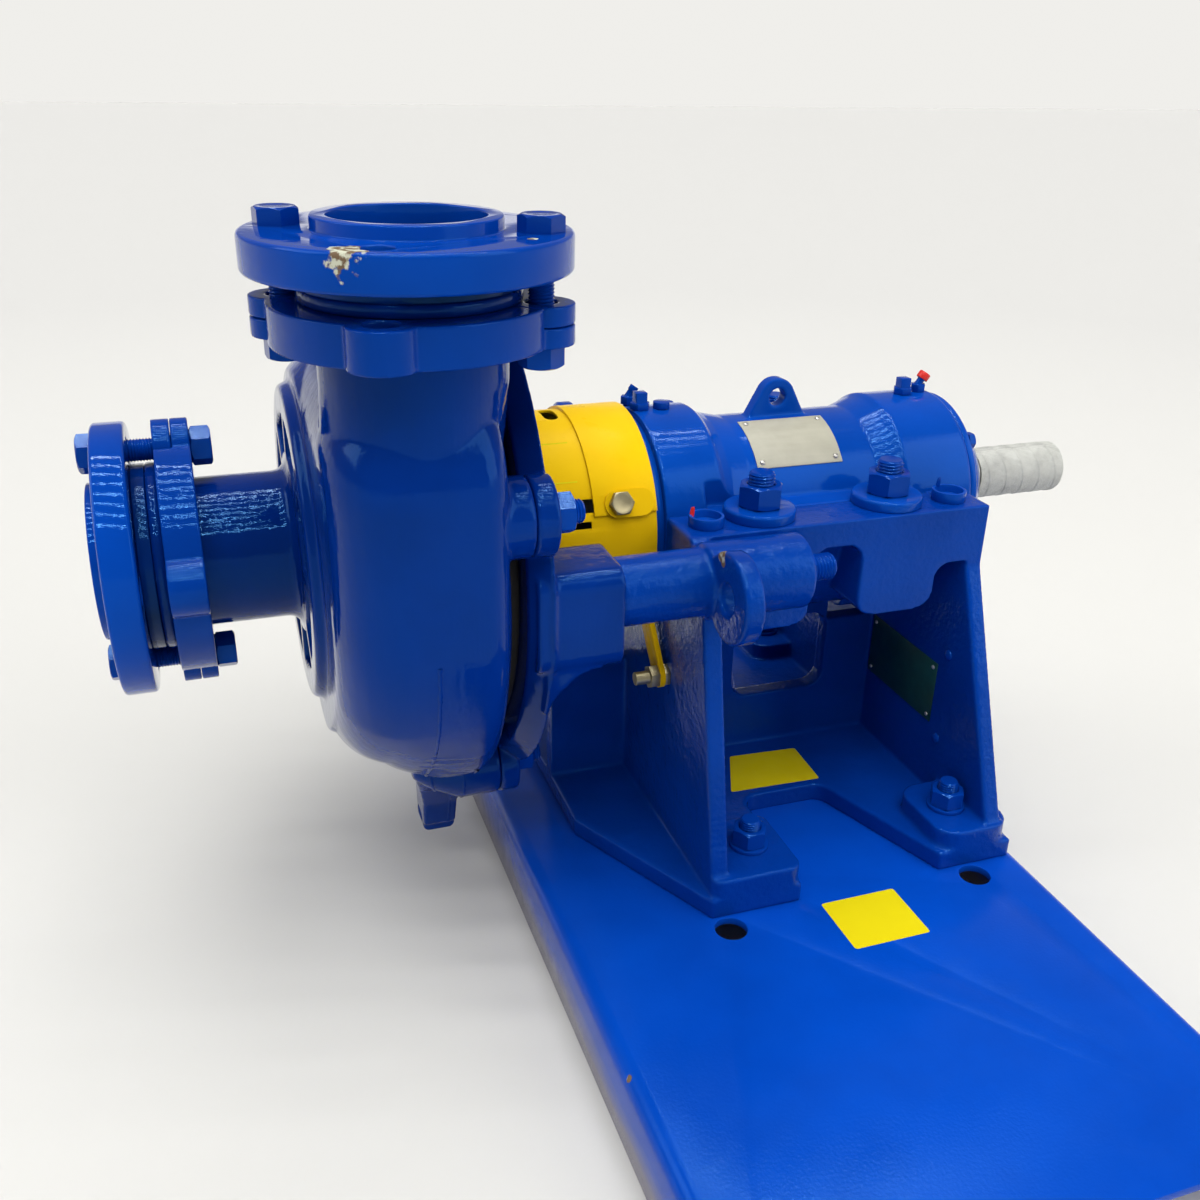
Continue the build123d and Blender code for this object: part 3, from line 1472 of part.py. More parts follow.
web_plate_near = -111.0
web_plate_far = -12.0
web_plate_low = -174.0
web_plate_high = -120.0
web_plate_sheet = 1.0
with BuildPart() as web_plate:
    with BuildSketch(across(rear_web - web_plate_sheet)):
        with Locations(((web_plate_near + web_plate_far) / 2, (web_plate_low + web_plate_high) / 2)):
            Rectangle(web_plate_far - web_plate_near, web_plate_high - web_plate_low)
    extrude(amount=web_plate_sheet - running_gap)
save(web_plate.part, "web_plate")

# Guard round the gland: an upper and a lower sheet, bolted together at both sides.
lap_gap = 0.2                   # upper sheet's wide end laps over the lower sheet
guard_outer = guard_radius + lap_gap
overlap = 1.0                   # degrees or millimetres that joined strips share
upper_edge = 28.0                       # heights of the sheets' edges, degrees over the horizontal
lap_edge = 19.0
lower_edge = 13.0
under_edge = 31.0
tongue_low = 16.6
tongue_high = 21.0
tongue_front = 100.0
lower_front = 100.0
lower_step = 133.0
guard_bolt_angle = 24.0
guard_bolt_station = 155.0
guard_inner = guard_radius - guard_sheet
peep_station = 123.5
peep_length = 26.0
peep_width = 11.0
strap_front = guard_rear - 1.0
strap_thickness = 4.0
strap_width = 18.0
strap_root = guard_inner * cos(radians(45)) + overlap
nut_depth = guard_sheet * 2 + lap_gap * 4


def band(start, stop, inner, outer, first, last):
    """Curved sheet about the shaft between two stations and two angles."""
    with BuildPart() as sheet:
        with BuildSketch(across(start)):
            with BuildLine():
                CenterArc((0, 0), (inner + outer) / 2, first, last - first)
            trace(line_width=outer - inner)
        extrude(amount=stop - start)
    return sheet.part


guard_bolt_places = [
    Plane(
        origin=across(guard_bolt_station).from_local_coords((
            side * (guard_outer + guard_sheet) * cos(radians(guard_bolt_angle)),
            (guard_outer + guard_sheet) * sin(radians(guard_bolt_angle)),
            0,
        )),
        x_dir=(1, 0, 0),
        z_dir=(0, side * cos(radians(guard_bolt_angle)), sin(radians(guard_bolt_angle))),
    )
    for side in (-1, 1)
]
with BuildPart() as guard_upper:
    add(band(guard_front, guard_step, guard_inner, guard_radius, upper_edge, 180 - upper_edge))
    lap_start = guard_step - guard_sheet
    add(band(lap_start, guard_step, guard_inner, guard_outer + guard_sheet, upper_edge, 180 - upper_edge))
    add(band(lap_start, guard_rear, guard_outer, guard_outer + guard_sheet, lap_edge, 180 - lap_edge))
    with BuildSketch(Plane(origin=level(guard_inner - peep_width).from_local_coords((peep_station, 0, 0)))):
        SlotOverall(peep_length, peep_width, rotation=90)
    extrude(amount=2 * peep_width, mode=Mode.SUBTRACT)
    for place in guard_bolt_places:
        with Locations(place.location):
            Hole(m10_shank / 2 + bolt_gap, depth=2 * guard_sheet)
save(guard_upper.part, "guard_upper")

with BuildPart() as guard_lower:
    add(band(lower_front, guard_rear, guard_inner, guard_radius, 180 - lower_edge, 360 + lower_edge))
    # strips of the lower sheet that rise past its edge: station, last station, first and last angle
    lap_front = guard_step + seat_gap
    strips = (
        (lower_step, guard_rear, lower_edge - overlap, tongue_high),
        (lap_front, guard_rear, tongue_high - overlap, under_edge),
        (tongue_front, lower_step + overlap, tongue_low, tongue_high),
    )
    for start, stop, first, last in strips:
        add(band(start, stop, guard_inner, guard_radius, first, last))
        add(band(start, stop, guard_inner, guard_radius, 180 - last, 180 - first))
    for side in (-1, 1):
        with BuildSketch(across(strap_front)):
            with BuildLine():
                Line((side * strap_root, -strap_root), (side * stay_foot_offset, -stay_foot_depth))
            trace(line_width=strap_width)
            with Locations((side * stay_foot_offset, -stay_foot_depth)):
                Circle(strap_width / 2)
        extrude(amount=strap_thickness)
        with Locations(across(strap_front + strap_thickness).location):
            with Locations((side * stay_foot_offset, -stay_foot_depth)):
                Hole(m10_shank / 2 + bolt_gap, depth=strap_thickness)
    for place in guard_bolt_places:
        with Locations(place.location):
            Hole(m10_shank / 2 + bolt_gap, depth=4 * guard_sheet)
save(guard_lower.part, "guard_lower")

guard_bolt_length = 16.0
with BuildPart() as guard_bolts:
    for place in guard_bolt_places:
        with Locations(place.location):
            add(hex_bolt(m10_flats, m10_head, m10_shank, guard_bolt_length))
        with Locations(place.offset(-nut_depth - m10_nut).location):
            add(hex_nut(m10_flats, m10_nut, m10_shank))
save(guard_bolts.part, "guard_bolts")

stay_stud_front = 164.0
with BuildPart() as stay_bolts:
    for side in (-1, 1):
        foot = across(stay_stud_front).from_local_coords((side * stay_foot_offset, -stay_foot_depth, 0))
        stud_place = Plane(origin=foot, z_dir=(1, 0, 0))
        with Locations(stud_place.location):
            add(stud(m10_shank, front_web + web_thickness - end_break - stay_stud_front))
        with Locations(stud_place.offset(strap_front - m10_nut - stay_stud_front).location):
            add(hex_nut(m10_flats, m10_nut, m10_shank))
        with Locations(stud_place.offset(strap_front + strap_thickness - stay_stud_front).location):
            add(hex_nut(m10_flats, front_web - strap_front - strap_thickness, m10_shank))
save(stay_bolts.part, "stay_bolts")
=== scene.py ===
"""Slurry pump on its base plate: the looks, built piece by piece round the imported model."""
import json
import math
import random

import bmesh
import bpy
from mathutils import Matrix, Vector
from mathutils.bvhtree import BVHTree


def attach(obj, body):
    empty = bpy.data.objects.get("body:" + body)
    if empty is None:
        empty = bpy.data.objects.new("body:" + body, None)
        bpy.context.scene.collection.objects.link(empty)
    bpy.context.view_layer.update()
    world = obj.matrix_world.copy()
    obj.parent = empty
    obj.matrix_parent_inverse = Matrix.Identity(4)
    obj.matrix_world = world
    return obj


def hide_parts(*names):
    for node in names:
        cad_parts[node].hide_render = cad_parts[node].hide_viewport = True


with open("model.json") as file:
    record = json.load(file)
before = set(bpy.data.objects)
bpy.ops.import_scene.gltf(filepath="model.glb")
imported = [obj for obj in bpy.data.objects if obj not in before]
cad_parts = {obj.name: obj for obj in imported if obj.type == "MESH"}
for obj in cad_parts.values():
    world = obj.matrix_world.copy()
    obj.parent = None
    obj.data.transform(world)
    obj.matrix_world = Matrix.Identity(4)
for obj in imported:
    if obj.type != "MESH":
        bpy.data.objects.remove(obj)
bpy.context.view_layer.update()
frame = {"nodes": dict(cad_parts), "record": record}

# Studio: a pale floor in a dim surround, lit by a row of tube lamps and two soft windows far off.
# The camera stands at the photograph's viewing angle; its place, tilt and lens come from fitting the
# flanges, the base plate and the shaft.
scene = bpy.context.scene
millimetre = 0.001
photo_width = 1200
focal_pixels = 1196.6
camera_place = Vector((-0.32075, -0.7091, 0.6424))
camera_yaw, camera_pitch, camera_roll = (math.radians(v) for v in (19.5, 24.8, 1.3))
ahead = Vector((
    math.sin(camera_yaw) * math.cos(camera_pitch),
    math.cos(camera_yaw) * math.cos(camera_pitch),
    -math.sin(camera_pitch),
))
level_right = Vector((math.cos(camera_yaw), -math.sin(camera_yaw), 0))
level_up = level_right.cross(ahead)
right = math.cos(camera_roll) * level_right + math.sin(camera_roll) * level_up
up = math.cos(camera_roll) * level_up - math.sin(camera_roll) * level_right
camera = bpy.data.objects.new("camera", bpy.data.cameras.new("camera"))
camera.data.sensor_width = 36.0
camera.data.lens = camera.data.sensor_width * focal_pixels / photo_width
camera.data.clip_start = 0.05
camera.matrix_world = Matrix((
    (right.x, up.x, -ahead.x, camera_place.x),
    (right.y, up.y, -ahead.y, camera_place.y),
    (right.z, up.z, -ahead.z, camera_place.z),
    (0, 0, 0, 1),
))
scene.collection.objects.link(camera)
scene.camera = camera
scene.view_settings.view_transform = "Standard"

surround = (0.87, 0.86, 0.83)
world = bpy.data.worlds.new("studio_air")
world.use_nodes = True
sky_nodes, sky_link = world.node_tree.nodes, world.node_tree.links.new
scene.world = world


def sky(operation, first, second, clamp=False):
    """Math node in the surround; its inputs are numbers or sockets."""
    node = sky_nodes.new("ShaderNodeMath")
    node.operation = operation
    node.use_clamp = clamp
    for socket, value in zip(node.inputs, (first, second)):
        if isinstance(value, (int, float)):
            socket.default_value = value
        else:
            sky_link(value, socket)
    return node.outputs["Value"]


sky_way = sky_nodes.new("ShaderNodeTexCoord").outputs["Generated"]
window_softness = 0.25


def along(direction):
    """How far the looked-at part of the surround lies along a direction."""
    node = sky_nodes.new("ShaderNodeVectorMath")
    node.operation = "DOT_PRODUCT"
    node.inputs[1].default_value = direction
    sky_link(sky_way, node.inputs[0])
    return node.outputs["Value"]


def window(bearing, elevation, half_width, half_height, strength):
    """Soft-edged bright panel far off in the surround; angles in degrees, bearing from +X to +Y."""
    turn, lift = math.radians(bearing), math.radians(elevation)
    flat = math.cos(lift)
    facing = Vector((math.cos(turn) * flat, math.sin(turn) * flat, math.sin(lift)))
    sideways = Vector((-math.sin(turn), math.cos(turn), 0))
    depth = sky("MAXIMUM", along(facing), 0.001)
    shares = []
    for way, half in ((sideways, half_width), (facing.cross(sideways), half_height)):
        off = sky("ABSOLUTE", sky("DIVIDE", along(way), depth), 0.0)
        edge = math.tan(math.radians(half))
        shares.append(sky("DIVIDE", sky("SUBTRACT", edge, off), window_softness * edge, clamp=True))
    in_front = sky("GREATER_THAN", along(facing), 0.01)
    return sky("MULTIPLY", sky("MULTIPLY", *shares), sky("MULTIPLY", in_front, strength))


# From the floor's edge to a little over it the surround has the floor's own tone, so no horizon shows.
band_top, band_fade = 0.14, 0.08
low_band = sky("DIVIDE", sky("SUBTRACT", band_top, along((0, 0, 1))), band_fade, clamp=True)
dim_air = 0.30
light = sky("ADD", dim_air, sky("MULTIPLY", low_band, 1 - dim_air))
tube_strength = 50.0
tube_lamps = [(255, elevation, 24, 0.45, tube_strength) for elevation in range(49, 120, 9)]
soft_windows = [(318, 30, 20, 26, 2.5), (172, 36, 20, 16, 3.0)]
for panel in tube_lamps + soft_windows:
    light = sky("ADD", light, window(*panel))
sky_nodes["Background"].inputs["Color"].default_value = (*surround, 1)
sky_link(light, sky_nodes["Background"].inputs["Strength"])


def node_tree(name):
    """New material with only a shader and its output; returns material, adder, linker and shader."""
    material = bpy.data.materials.new(name)
    material.use_nodes = True
    nodes, links = material.node_tree.nodes, material.node_tree.links
    shader = nodes["Principled BSDF"]

    def add(kind, **values):
        node = nodes.new(kind)
        for key, value in values.items():
            if hasattr(node, key):
                setattr(node, key, value)
            else:
                node.inputs[key.replace("_", " ")].default_value = value
        return node

    return material, add, links.new, shader


def grain(add, link, scale, detail=3.0, stretch=(1, 1, 1)):
    """Noise over the object's own place, in features per metre; returns its factor output."""
    place = add("ShaderNodeTexCoord")
    squeeze = add("ShaderNodeMapping")
    squeeze.inputs["Scale"].default_value = stretch
    noise = add("ShaderNodeTexNoise", Scale=scale, Detail=detail)
    link(place.outputs["Object"], squeeze.inputs["Vector"])
    link(squeeze.outputs["Vector"], noise.inputs["Vector"])
    return noise.outputs["Fac"]


def ramp(add, link, source, stops):
    """Colour ramp over a factor; stops are (position, colour)."""
    node = add("ShaderNodeValToRGB")
    while len(node.color_ramp.elements) < len(stops):
        node.color_ramp.elements.new(1.0)
    for element, (position, colour) in zip(node.color_ramp.elements, stops):
        element.position = position
        element.color = (*colour, 1) if len(colour) == 3 else (colour[0],) * 3 + (1,)
    link(source, node.inputs["Fac"])
    return node.outputs["Color"]


def bumps(add, link, shader, layers):
    """Chain of bump layers, each (factor, depth in metres, strength)."""
    normal = None
    for factor, depth, strength in layers:
        bump = add("ShaderNodeBump", Distance=depth, Strength=strength)
        link(factor, bump.inputs["Height"])
        if normal:
            link(normal, bump.inputs["Normal"])
        normal = bump.outputs["Normal"]
    link(normal, shader.inputs["Normal"])


def distance_from(add, link, centre, reach):
    """Factor that is 0 at a place and 1 at a reach from it, in metres."""
    place = add("ShaderNodeTexCoord")
    span = add("ShaderNodeVectorMath", operation="DISTANCE")
    span.inputs[1].default_value = centre
    link(place.outputs["Object"], span.inputs[0])
    share = add("ShaderNodeMath", operation="DIVIDE", use_clamp=True)
    share.inputs[1].default_value = reach
    link(span.outputs["Value"], share.inputs[0])
    return share.outputs["Value"]


floor_material, add, link, shader = node_tree("pale_floor")
floor_reach = 14.0
spread = distance_from(add, link, (0, 0, 0), floor_reach)
# The floor's colour is painted lighter close to the pump than far off: painted light that makes up for
# the shade round the pump.
floor_tones = [(0.03, (0.625, 0.625, 0.615)), (0.2, (0.55, 0.55, 0.55))]
link(ramp(add, link, spread, floor_tones), shader.inputs["Base Color"])
shader.inputs["Roughness"].default_value = 0.8
shader.inputs["Specular IOR Level"].default_value = 0.1
bumps(add, link, shader, [(grain(add, link, 40.0), 0.0005, 0.1)])
floor_mesh = bpy.data.meshes.new("floor")
corners = [(-1, -1), (1, -1), (1, 1), (-1, 1)]
floor_mesh.from_pydata([(x * floor_reach, y * floor_reach, 0) for x, y in corners], [], [(0, 1, 2, 3)])
floor_mesh.materials.append(floor_material)
floor = bpy.data.objects.new("floor", floor_mesh)
scene.collection.objects.link(floor)

# Base plate: 6 mm steel sheet folded down along both long sides, sprayed blue.
# Glossy enamel with a light orange peel, chipped on the near edge and greyed by dust at the foot.
mounts = {mount["name"]: mount for mount in frame["record"]["mounts"]}
bodies = frame["record"]["behaviour"]["bodies"]
shaft_end = Vector(mounts["drive_shaft"]["pos_m"])
pump_x = mounts["discharge_port"]["pos_m"][0]


def at(station, across=0.0, height=0.0):
    """Point from millimetres along the shaft, to its far side and over it."""
    return Vector((pump_x, shaft_end.y, shaft_end.z)) + Vector((station, across, height)) * millimetre


primer_dark, primer_pale = (0.16, 0.10, 0.05), (0.55, 0.56, 0.44)
chip_raggedness = 0.8
chip_dullness = 0.7
dust_colour = (0.22, 0.19, 0.17, 1)


def paint(
    name, colour, dark, peel=0.25, cast=0.0, sags=0.0, gloss=0.13, chips=(),
    shine=0.32, gleam=(0.14, 0.5, 1), dust=0.0,
):
    """Sprayed enamel with orange peel over a casting's skin, chipped at some (place, radius) spots.

    cast and sags are how strongly the sand's print and runs of paint show; gloss is the roughness of
    its smoothest places; shine and gleam are its reflection's strength and colour; dust greys it below
    that height in metres.
    """
    material, add, link, shader = node_tree(name)
    drift = grain(add, link, 9.0, 4.0)
    tone = ramp(add, link, drift, [(0.35, dark), (0.65, colour)])
    sheen = ramp(add, link, grain(add, link, 60.0, 3.0), [(0.3, (gloss,)), (0.75, (gloss * 2,))])
    for centre, radius in chips:
        away = distance_from(add, link, centre, radius)
        ragged = add("ShaderNodeMath", operation="MULTIPLY_ADD")
        ragged.inputs[1].default_value = chip_raggedness
        link(grain(add, link, 120.0, 4.0), ragged.inputs[0])
        link(away, ragged.inputs[2])
        bare = ramp(add, link, ragged.outputs["Value"], [(0.88, (1,)), (0.93, (0,))])
        primer = ramp(
            add, link, grain(add, link, 210.0, 4.0), [(0.47, primer_dark), (0.56, primer_pale)],
        )
        worn = add("ShaderNodeMix", data_type="RGBA")
        link(bare, worn.inputs[0])
        link(tone, worn.inputs[6])
        link(primer, worn.inputs[7])
        tone = worn.outputs[2]
        dull = add("ShaderNodeMath", operation="MAXIMUM")
        faded = add("ShaderNodeMath", operation="MULTIPLY")
        faded.inputs[1].default_value = chip_dullness
        link(bare, faded.inputs[0])
        link(sheen, dull.inputs[0])
        link(faded.outputs["Value"], dull.inputs[1])
        sheen = dull.outputs["Value"]
    if dust:
        place = add("ShaderNodeTexCoord")
        height = add("ShaderNodeSeparateXYZ")
        link(place.outputs["Object"], height.inputs[0])
        level = add("ShaderNodeMath", operation="DIVIDE")
        level.inputs[1].default_value = dust
        link(height.outputs["Z"], level.inputs[0])
        streaks = add("ShaderNodeMath", operation="MULTIPLY_ADD")
        streaks.inputs[1].default_value = 0.5
        link(grain(add, link, 30.0, 6.0, (0.3, 0.3, 1.5)), streaks.inputs[0])
        link(level.outputs["Value"], streaks.inputs[2])
        film = ramp(add, link, streaks.outputs["Value"], [(0.5, (0.8,)), (1.35, (0,))])
        dusty = add("ShaderNodeMix", data_type="RGBA")
        link(film, dusty.inputs[0])
        link(tone, dusty.inputs[6])
        dusty.inputs[7].default_value = dust_colour
        tone = dusty.outputs[2]
    link(tone, shader.inputs["Base Color"])
    link(sheen, shader.inputs["Roughness"])
    shader.inputs["Specular IOR Level"].default_value = shine
    shader.inputs["Specular Tint"].default_value = (*gleam, 1)
    layers = [(grain(add, link, 480.0, 2.0), 0.0003, peel)]
    if cast:
        layers.append((grain(add, link, 230.0, 5.0), 0.0016, cast))
        layers.append((grain(add, link, 45.0, 2.0), 0.004, cast * 0.6))
    if sags:
        layers.append((grain(add, link, 70.0, 3.0, (1, 1, 0.12)), 0.002, sags))
    bumps(add, link, shader, layers)
    return material


edge_chips = [(at(82, -322, -256), 0.007), (at(96, -322, -254), 0.004), (at(300, -318, -252), 0.004)]
blue_plate = paint(
    "blue_plate", (0.0007, 0.058, 0.46), (0.0006, 0.046, 0.38), peel=0.45, dust=0.045,
    chips=edge_chips,
)
weld_gap = 2e-6


def finish_piece(bm, name, material, body, nodes=(), crease=35.0):
    """Named piece with smooth faces and crisp edges, riding on its body in place of its CAD nodes."""
    bmesh.ops.remove_doubles(bm, verts=bm.verts, dist=1e-6)
    bmesh.ops.recalc_face_normals(bm, faces=bm.faces)
    for face in bm.faces:
        face.smooth = True
    for edge in bm.edges:
        if len(edge.link_faces) == 2:
            edge.smooth = edge.calc_face_angle(0) < math.radians(crease)
    mesh = bpy.data.meshes.new(name)
    bm.to_mesh(mesh)
    bm.free()
    mesh.materials.append(material)
    piece = bpy.data.objects.new(name, mesh)
    scene.collection.objects.link(piece)
    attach(piece, body)
    if nodes:
        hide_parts(*nodes)
    return piece


def body_of(node):
    """Body that a CAD node moves with."""
    return next(body for body, nodes in bodies.items() if node in nodes)


def welded(node):
    """Mesh of a CAD node with its facets joined and its flat faces whole."""
    bm = bmesh.new()
    bm.from_mesh(frame["nodes"][node].data)
    bmesh.ops.remove_doubles(bm, verts=bm.verts, dist=weld_gap)
    return bm


def rounded(node, radius, material, steps=2, angle=32.0):
    """Copy of a CAD node with edges eased by a radius in millimetres, which stands for the node."""
    bm = welded(node)
    bmesh.ops.dissolve_limit(bm, angle_limit=math.radians(0.4), verts=bm.verts, edges=bm.edges)
    if radius:
        corners = [
            edge for edge in bm.edges
            if len(edge.link_faces) == 2 and edge.calc_face_angle(0) > math.radians(angle)
        ]
        bmesh.ops.bevel(
            bm, geom=corners, offset=radius * millimetre, offset_type="OFFSET", segments=steps,
            profile=0.5, affect="EDGES", clamp_overlap=True,
        )
    return finish_piece(bm, "dressed_" + node, material, body_of(node), (node,), angle)


label_thickness = 0.2
label_corner_radius = 2.0


def sticker(name, corners, material, body):
    """Thin blank label with rounded corners, lying on the plane through four corners."""
    along = (corners[1] - corners[0]).normalized()
    outward = along.cross(corners[3] - corners[0]).normalized()
    if outward.z < 0:
        outward.negate()
    bm = bmesh.new()
    bm.faces.new([bm.verts.new(corner) for corner in corners])
    bmesh.ops.bevel(
        bm, geom=list(bm.verts), offset=label_corner_radius * millimetre, segments=4, profile=0.5,
        affect="VERTICES",
    )
    raised = bmesh.ops.extrude_face_region(bm, geom=list(bm.faces))
    tops = [item for item in raised["geom"] if isinstance(item, bmesh.types.BMVert)]
    bmesh.ops.translate(bm, verts=tops, vec=outward * label_thickness * millimetre)
    return finish_piece(bm, name, material, body)


rounded("base_plate", 0.8, blue_plate)
label_yellow = paint(
    "label_yellow", (0.68, 0.57, 0.006), (0.60, 0.49, 0.006), peel=0.04, gloss=0.35,
    shine=0.1, gleam=(1, 0.9, 0.2),
)
plate_top = -250.0
label_corners = [(275, -264.5), (337, -264.5), (337, -212.5), (275, -212.5)]
base_label = [at(station, across, plate_top) for station, across in label_corners]
sticker("base_label", base_label, label_yellow, "pump")

# Pedestal: one grey iron casting, fettled, filled and sprayed the same blue as the rest.
# Its cast edges are soft and its corners filled, as the moulding sand leaves them.
lit_edge = at(187, -178, 30)
# The pedestal's blue is set darker than the barrel's and the base plate's: painted shade for its less
# lit sides.
shaded_blue_web = paint(
    "shaded_blue_web", (0.0006, 0.040, 0.32), (0.0005, 0.030, 0.25), peel=0.2, cast=0.35, gloss=0.06,
    chips=[(lit_edge, 0.012)],
)


def cast(node, grid, material, passes=5, keep=0.35, more=None, reshape=None):
    """Copy of a CAD node as a foundry makes it, with edges eased and inner corners filled.

    grid is its fineness in millimetres; passes is how often it is smoothed, and keep the share of its
    facets that stays; more adds closed shells that the skin then takes in; reshape moves each point
    of the finished skin.
    """
    bm = welded(node)
    if more:
        more(bm)
    shell = bpy.data.objects.new("shell", bpy.data.meshes.new("shell"))
    bm.to_mesh(shell.data)
    bm.free()
    scene.collection.objects.link(shell)
    shell.modifiers.new("weld", "WELD").merge_threshold = weld_gap
    skin = shell.modifiers.new("skin", "REMESH")
    skin.mode = "VOXEL"
    skin.voxel_size = grid * millimetre
    ease = shell.modifiers.new("ease", "SMOOTH")
    ease.factor = 0.5
    ease.iterations = passes
    thin = shell.modifiers.new("thin", "DECIMATE")
    thin.ratio = keep
    graph = bpy.context.evaluated_depsgraph_get()
    bm = bmesh.new()
    bm.from_object(shell, graph)
    bpy.data.objects.remove(shell)
    if reshape:
        for vert in bm.verts:
            vert.co = reshape(vert.co)
    return finish_piece(bm, "dressed_" + node, material, body_of(node), (node,), 80.0)


cast("pedestal", 1.5, shaded_blue_web)
foot_top = -233.9
foot_label_corners = [(262, -77), (343.5, -80), (345.5, -30), (284, -26)]
foot_label = [at(station, across, foot_top) for station, across in foot_label_corners]
sticker("foot_label", foot_label, label_yellow, "pump")

# Foot bolts: four M16 bolts from under the base plate, with washers and nuts on the pedestal's pads.
# Plated steel, painted over together with the pump, so their threads are blue and slightly filled.
blue_bolt = paint("blue_bolt", (0.0006, 0.044, 0.35), (0.0005, 0.030, 0.25), peel=0.15, gloss=0.05)
coarse_pitch = {8: 1.25, 10: 1.5, 16: 2.0, 20: 2.5}


def seat(point, outward, sideways):
    """Matrix that puts local Z along outward and local X along sideways."""
    z = Vector(outward).normalized()
    x = (Vector(sideways) - Vector(sideways).dot(z) * z).normalized()
    y = z.cross(x)
    return Matrix.Translation(point) @ Matrix((x, y, z)).transposed().to_4x4()


def skin_rings(bm, place, rings, start="open", end="open"):
    """Joins rings of equally many (x, y, z) millimetre points; ends are open, closed or joined."""
    made = [[bm.verts.new(place @ (Vector(p) * millimetre)) for p in ring] for ring in rings]
    pairs = list(zip(made, made[1:]))
    if end == "joined":
        pairs.append((made[-1], made[0]))
    for low, high in pairs:
        for i in range(len(low)):
            j = (i + 1) % len(low)
            bm.faces.new((low[i], low[j], high[j], high[i]))
    if start == "closed":
        bm.faces.new(list(reversed(made[0])))
    if end == "closed":
        bm.faces.new(made[-1])


def circle(radius, z, steps):
    """Ring of points round local Z."""
    turns = [2 * math.pi * i / steps for i in range(steps)]
    return [(radius * math.cos(t), radius * math.sin(t), z) for t in turns]


def hexagon(bm, place, flats, height, bore=0.0):
    """Hexagon nut or bolt head with turned 30 degree chamfers; its corners are on local X."""
    steps = 48
    lead = 0.8
    dish_depth = 0.3
    chamfer_radius = flats * 0.475
    slope = math.tan(math.radians(30))
    turns = [2 * math.pi * i / steps for i in range(steps)]

    def side(turn):
        return flats / 2 / math.cos(math.radians(math.degrees(turn) % 60 - 30))

    def outline(level, sign):
        ring = []
        for t in turns:
            chamfer = (side(t) - chamfer_radius) * slope
            ring.append((side(t) * math.cos(t), side(t) * math.sin(t), level + sign * chamfer))
        return ring

    if bore:
        rings = [circle(chamfer_radius, 0, steps), outline(0, 1), outline(height, -1)]
        rings += [circle(chamfer_radius, height, steps), circle(bore + lead, height, steps)]
        rings += [circle(bore, height - lead, steps), circle(bore, lead, steps)]
        rings += [circle(bore + lead, 0, steps)]
        skin_rings(bm, place, rings, end="joined")
    else:
        rings = [[(side(t) * math.cos(t), side(t) * math.sin(t), 0) for t in turns]]
        rings += [outline(height, -1), circle(chamfer_radius, height, steps)]
        rings += [circle(chamfer_radius * 0.78, height, steps)]
        rings += [circle(chamfer_radius * 0.7, height - dish_depth, steps)]
        skin_rings(bm, place, rings, start="closed", end="closed")


def screwed_rod(bm, place, radius, length, plain=0.0):
    """Rod from local z = 0 up, plain at first, then with a true helical thread and a chamfered end."""
    pitch = coarse_pitch[round(2 * radius)]
    steps, rows_per_turn = 20, 4
    depth = pitch * 0.5
    chamfer = pitch * 0.8
    heights = [0.0, plain] if plain else [0.0]
    while heights[-1] < length:
        heights.append(min(heights[-1] + pitch / rows_per_turn, length))
    rings = []
    for z in heights:
        end_taper = max(0.0, z - (length - chamfer))
        ring = []
        for i in range(steps):
            phase = (z / pitch - i / steps) % 1.0
            cut = depth * (1 - abs(2 * phase - 1)) if z > plain else 0.0
            reach = min(radius - cut, radius - end_taper)
            turn = 2 * math.pi * i / steps
            ring.append((reach * math.cos(turn), reach * math.sin(turn), z))
        rings.append(ring)
    skin_rings(bm, place, rings, start="closed", end="closed")


def islands(node):
    """Separate solids of a CAD node, each as its points, always in the same order."""
    bm = welded(node)
    bm.verts.index_update()
    seen = set()
    found = []
    for first in bm.verts:
        if first.index in seen:
            continue
        seen.add(first.index)
        queue = [first]
        points = []
        while queue:
            vert = queue.pop()
            points.append(vert.co.copy())
            for edge in vert.link_edges:
                other = edge.other_vert(vert)
                if other.index not in seen:
                    seen.add(other.index)
                    queue.append(other)
        found.append(points)
    bm.free()
    return found


rim_share, shank_share = 0.93, 0.75
flush = 0.5


def fasteners(node, outward, material, plain=0.0, trim=0.0):
    """Redraws every bolt, nut and stud of a CAD node with chamfers and threads, at its own sizes.

    outward gives the way a head or a nut faces, from a fastener's middle; plain is the length of a
    shank without thread; trim shortens its end.
    """
    bm = bmesh.new()
    for points in islands(node):
        middle = sum(points, Vector()) / len(points)
        z_way = Vector(outward(middle)).normalized()
        rough = seat(middle, z_way, z_way.orthogonal())
        local = [rough.inverted() @ p / millimetre for p in points]
        spans = [(min(p[k] for p in local), max(p[k] for p in local)) for k in (0, 1)]
        centre = Vector([(least + most) / 2 for least, most in spans] + [0])
        local = [p - centre for p in local]
        widest = max(local, key=lambda p: math.hypot(p.x, p.y))
        reach = math.hypot(widest.x, widest.y)
        outer = [p.z for p in local if math.hypot(p.x, p.y) > rim_share * reach]
        inner = [p for p in local if math.hypot(p.x, p.y) < shank_share * reach]
        low, high = min(p.z for p in local), max(p.z for p in local)
        corner_way = rough.to_3x3() @ Vector((widest.x, widest.y, 0))

        def seated(height):
            return seat(rough @ ((centre + Vector((0, 0, height))) * millimetre), z_way, corner_way)

        if not inner:
            screwed_rod(bm, seated(low), reach, high - low - trim, plain)
            continue
        flats = 2 * reach * math.cos(math.radians(30))
        shank = max(math.hypot(p.x, p.y) for p in inner)
        if min(outer) - low < flush and high - max(outer) < flush:
            hexagon(bm, seated(low), flats, high - low, shank)
        else:
            hexagon(bm, seated(min(outer)), flats, max(outer) - min(outer))
            head_down = seat(seated(min(outer)).translation, -z_way, corner_way)
            screwed_rod(bm, head_down, shank, min(outer) - low - trim, plain)
    return finish_piece(bm, "dressed_" + node, material, body_of(node), (node,), 30.0)


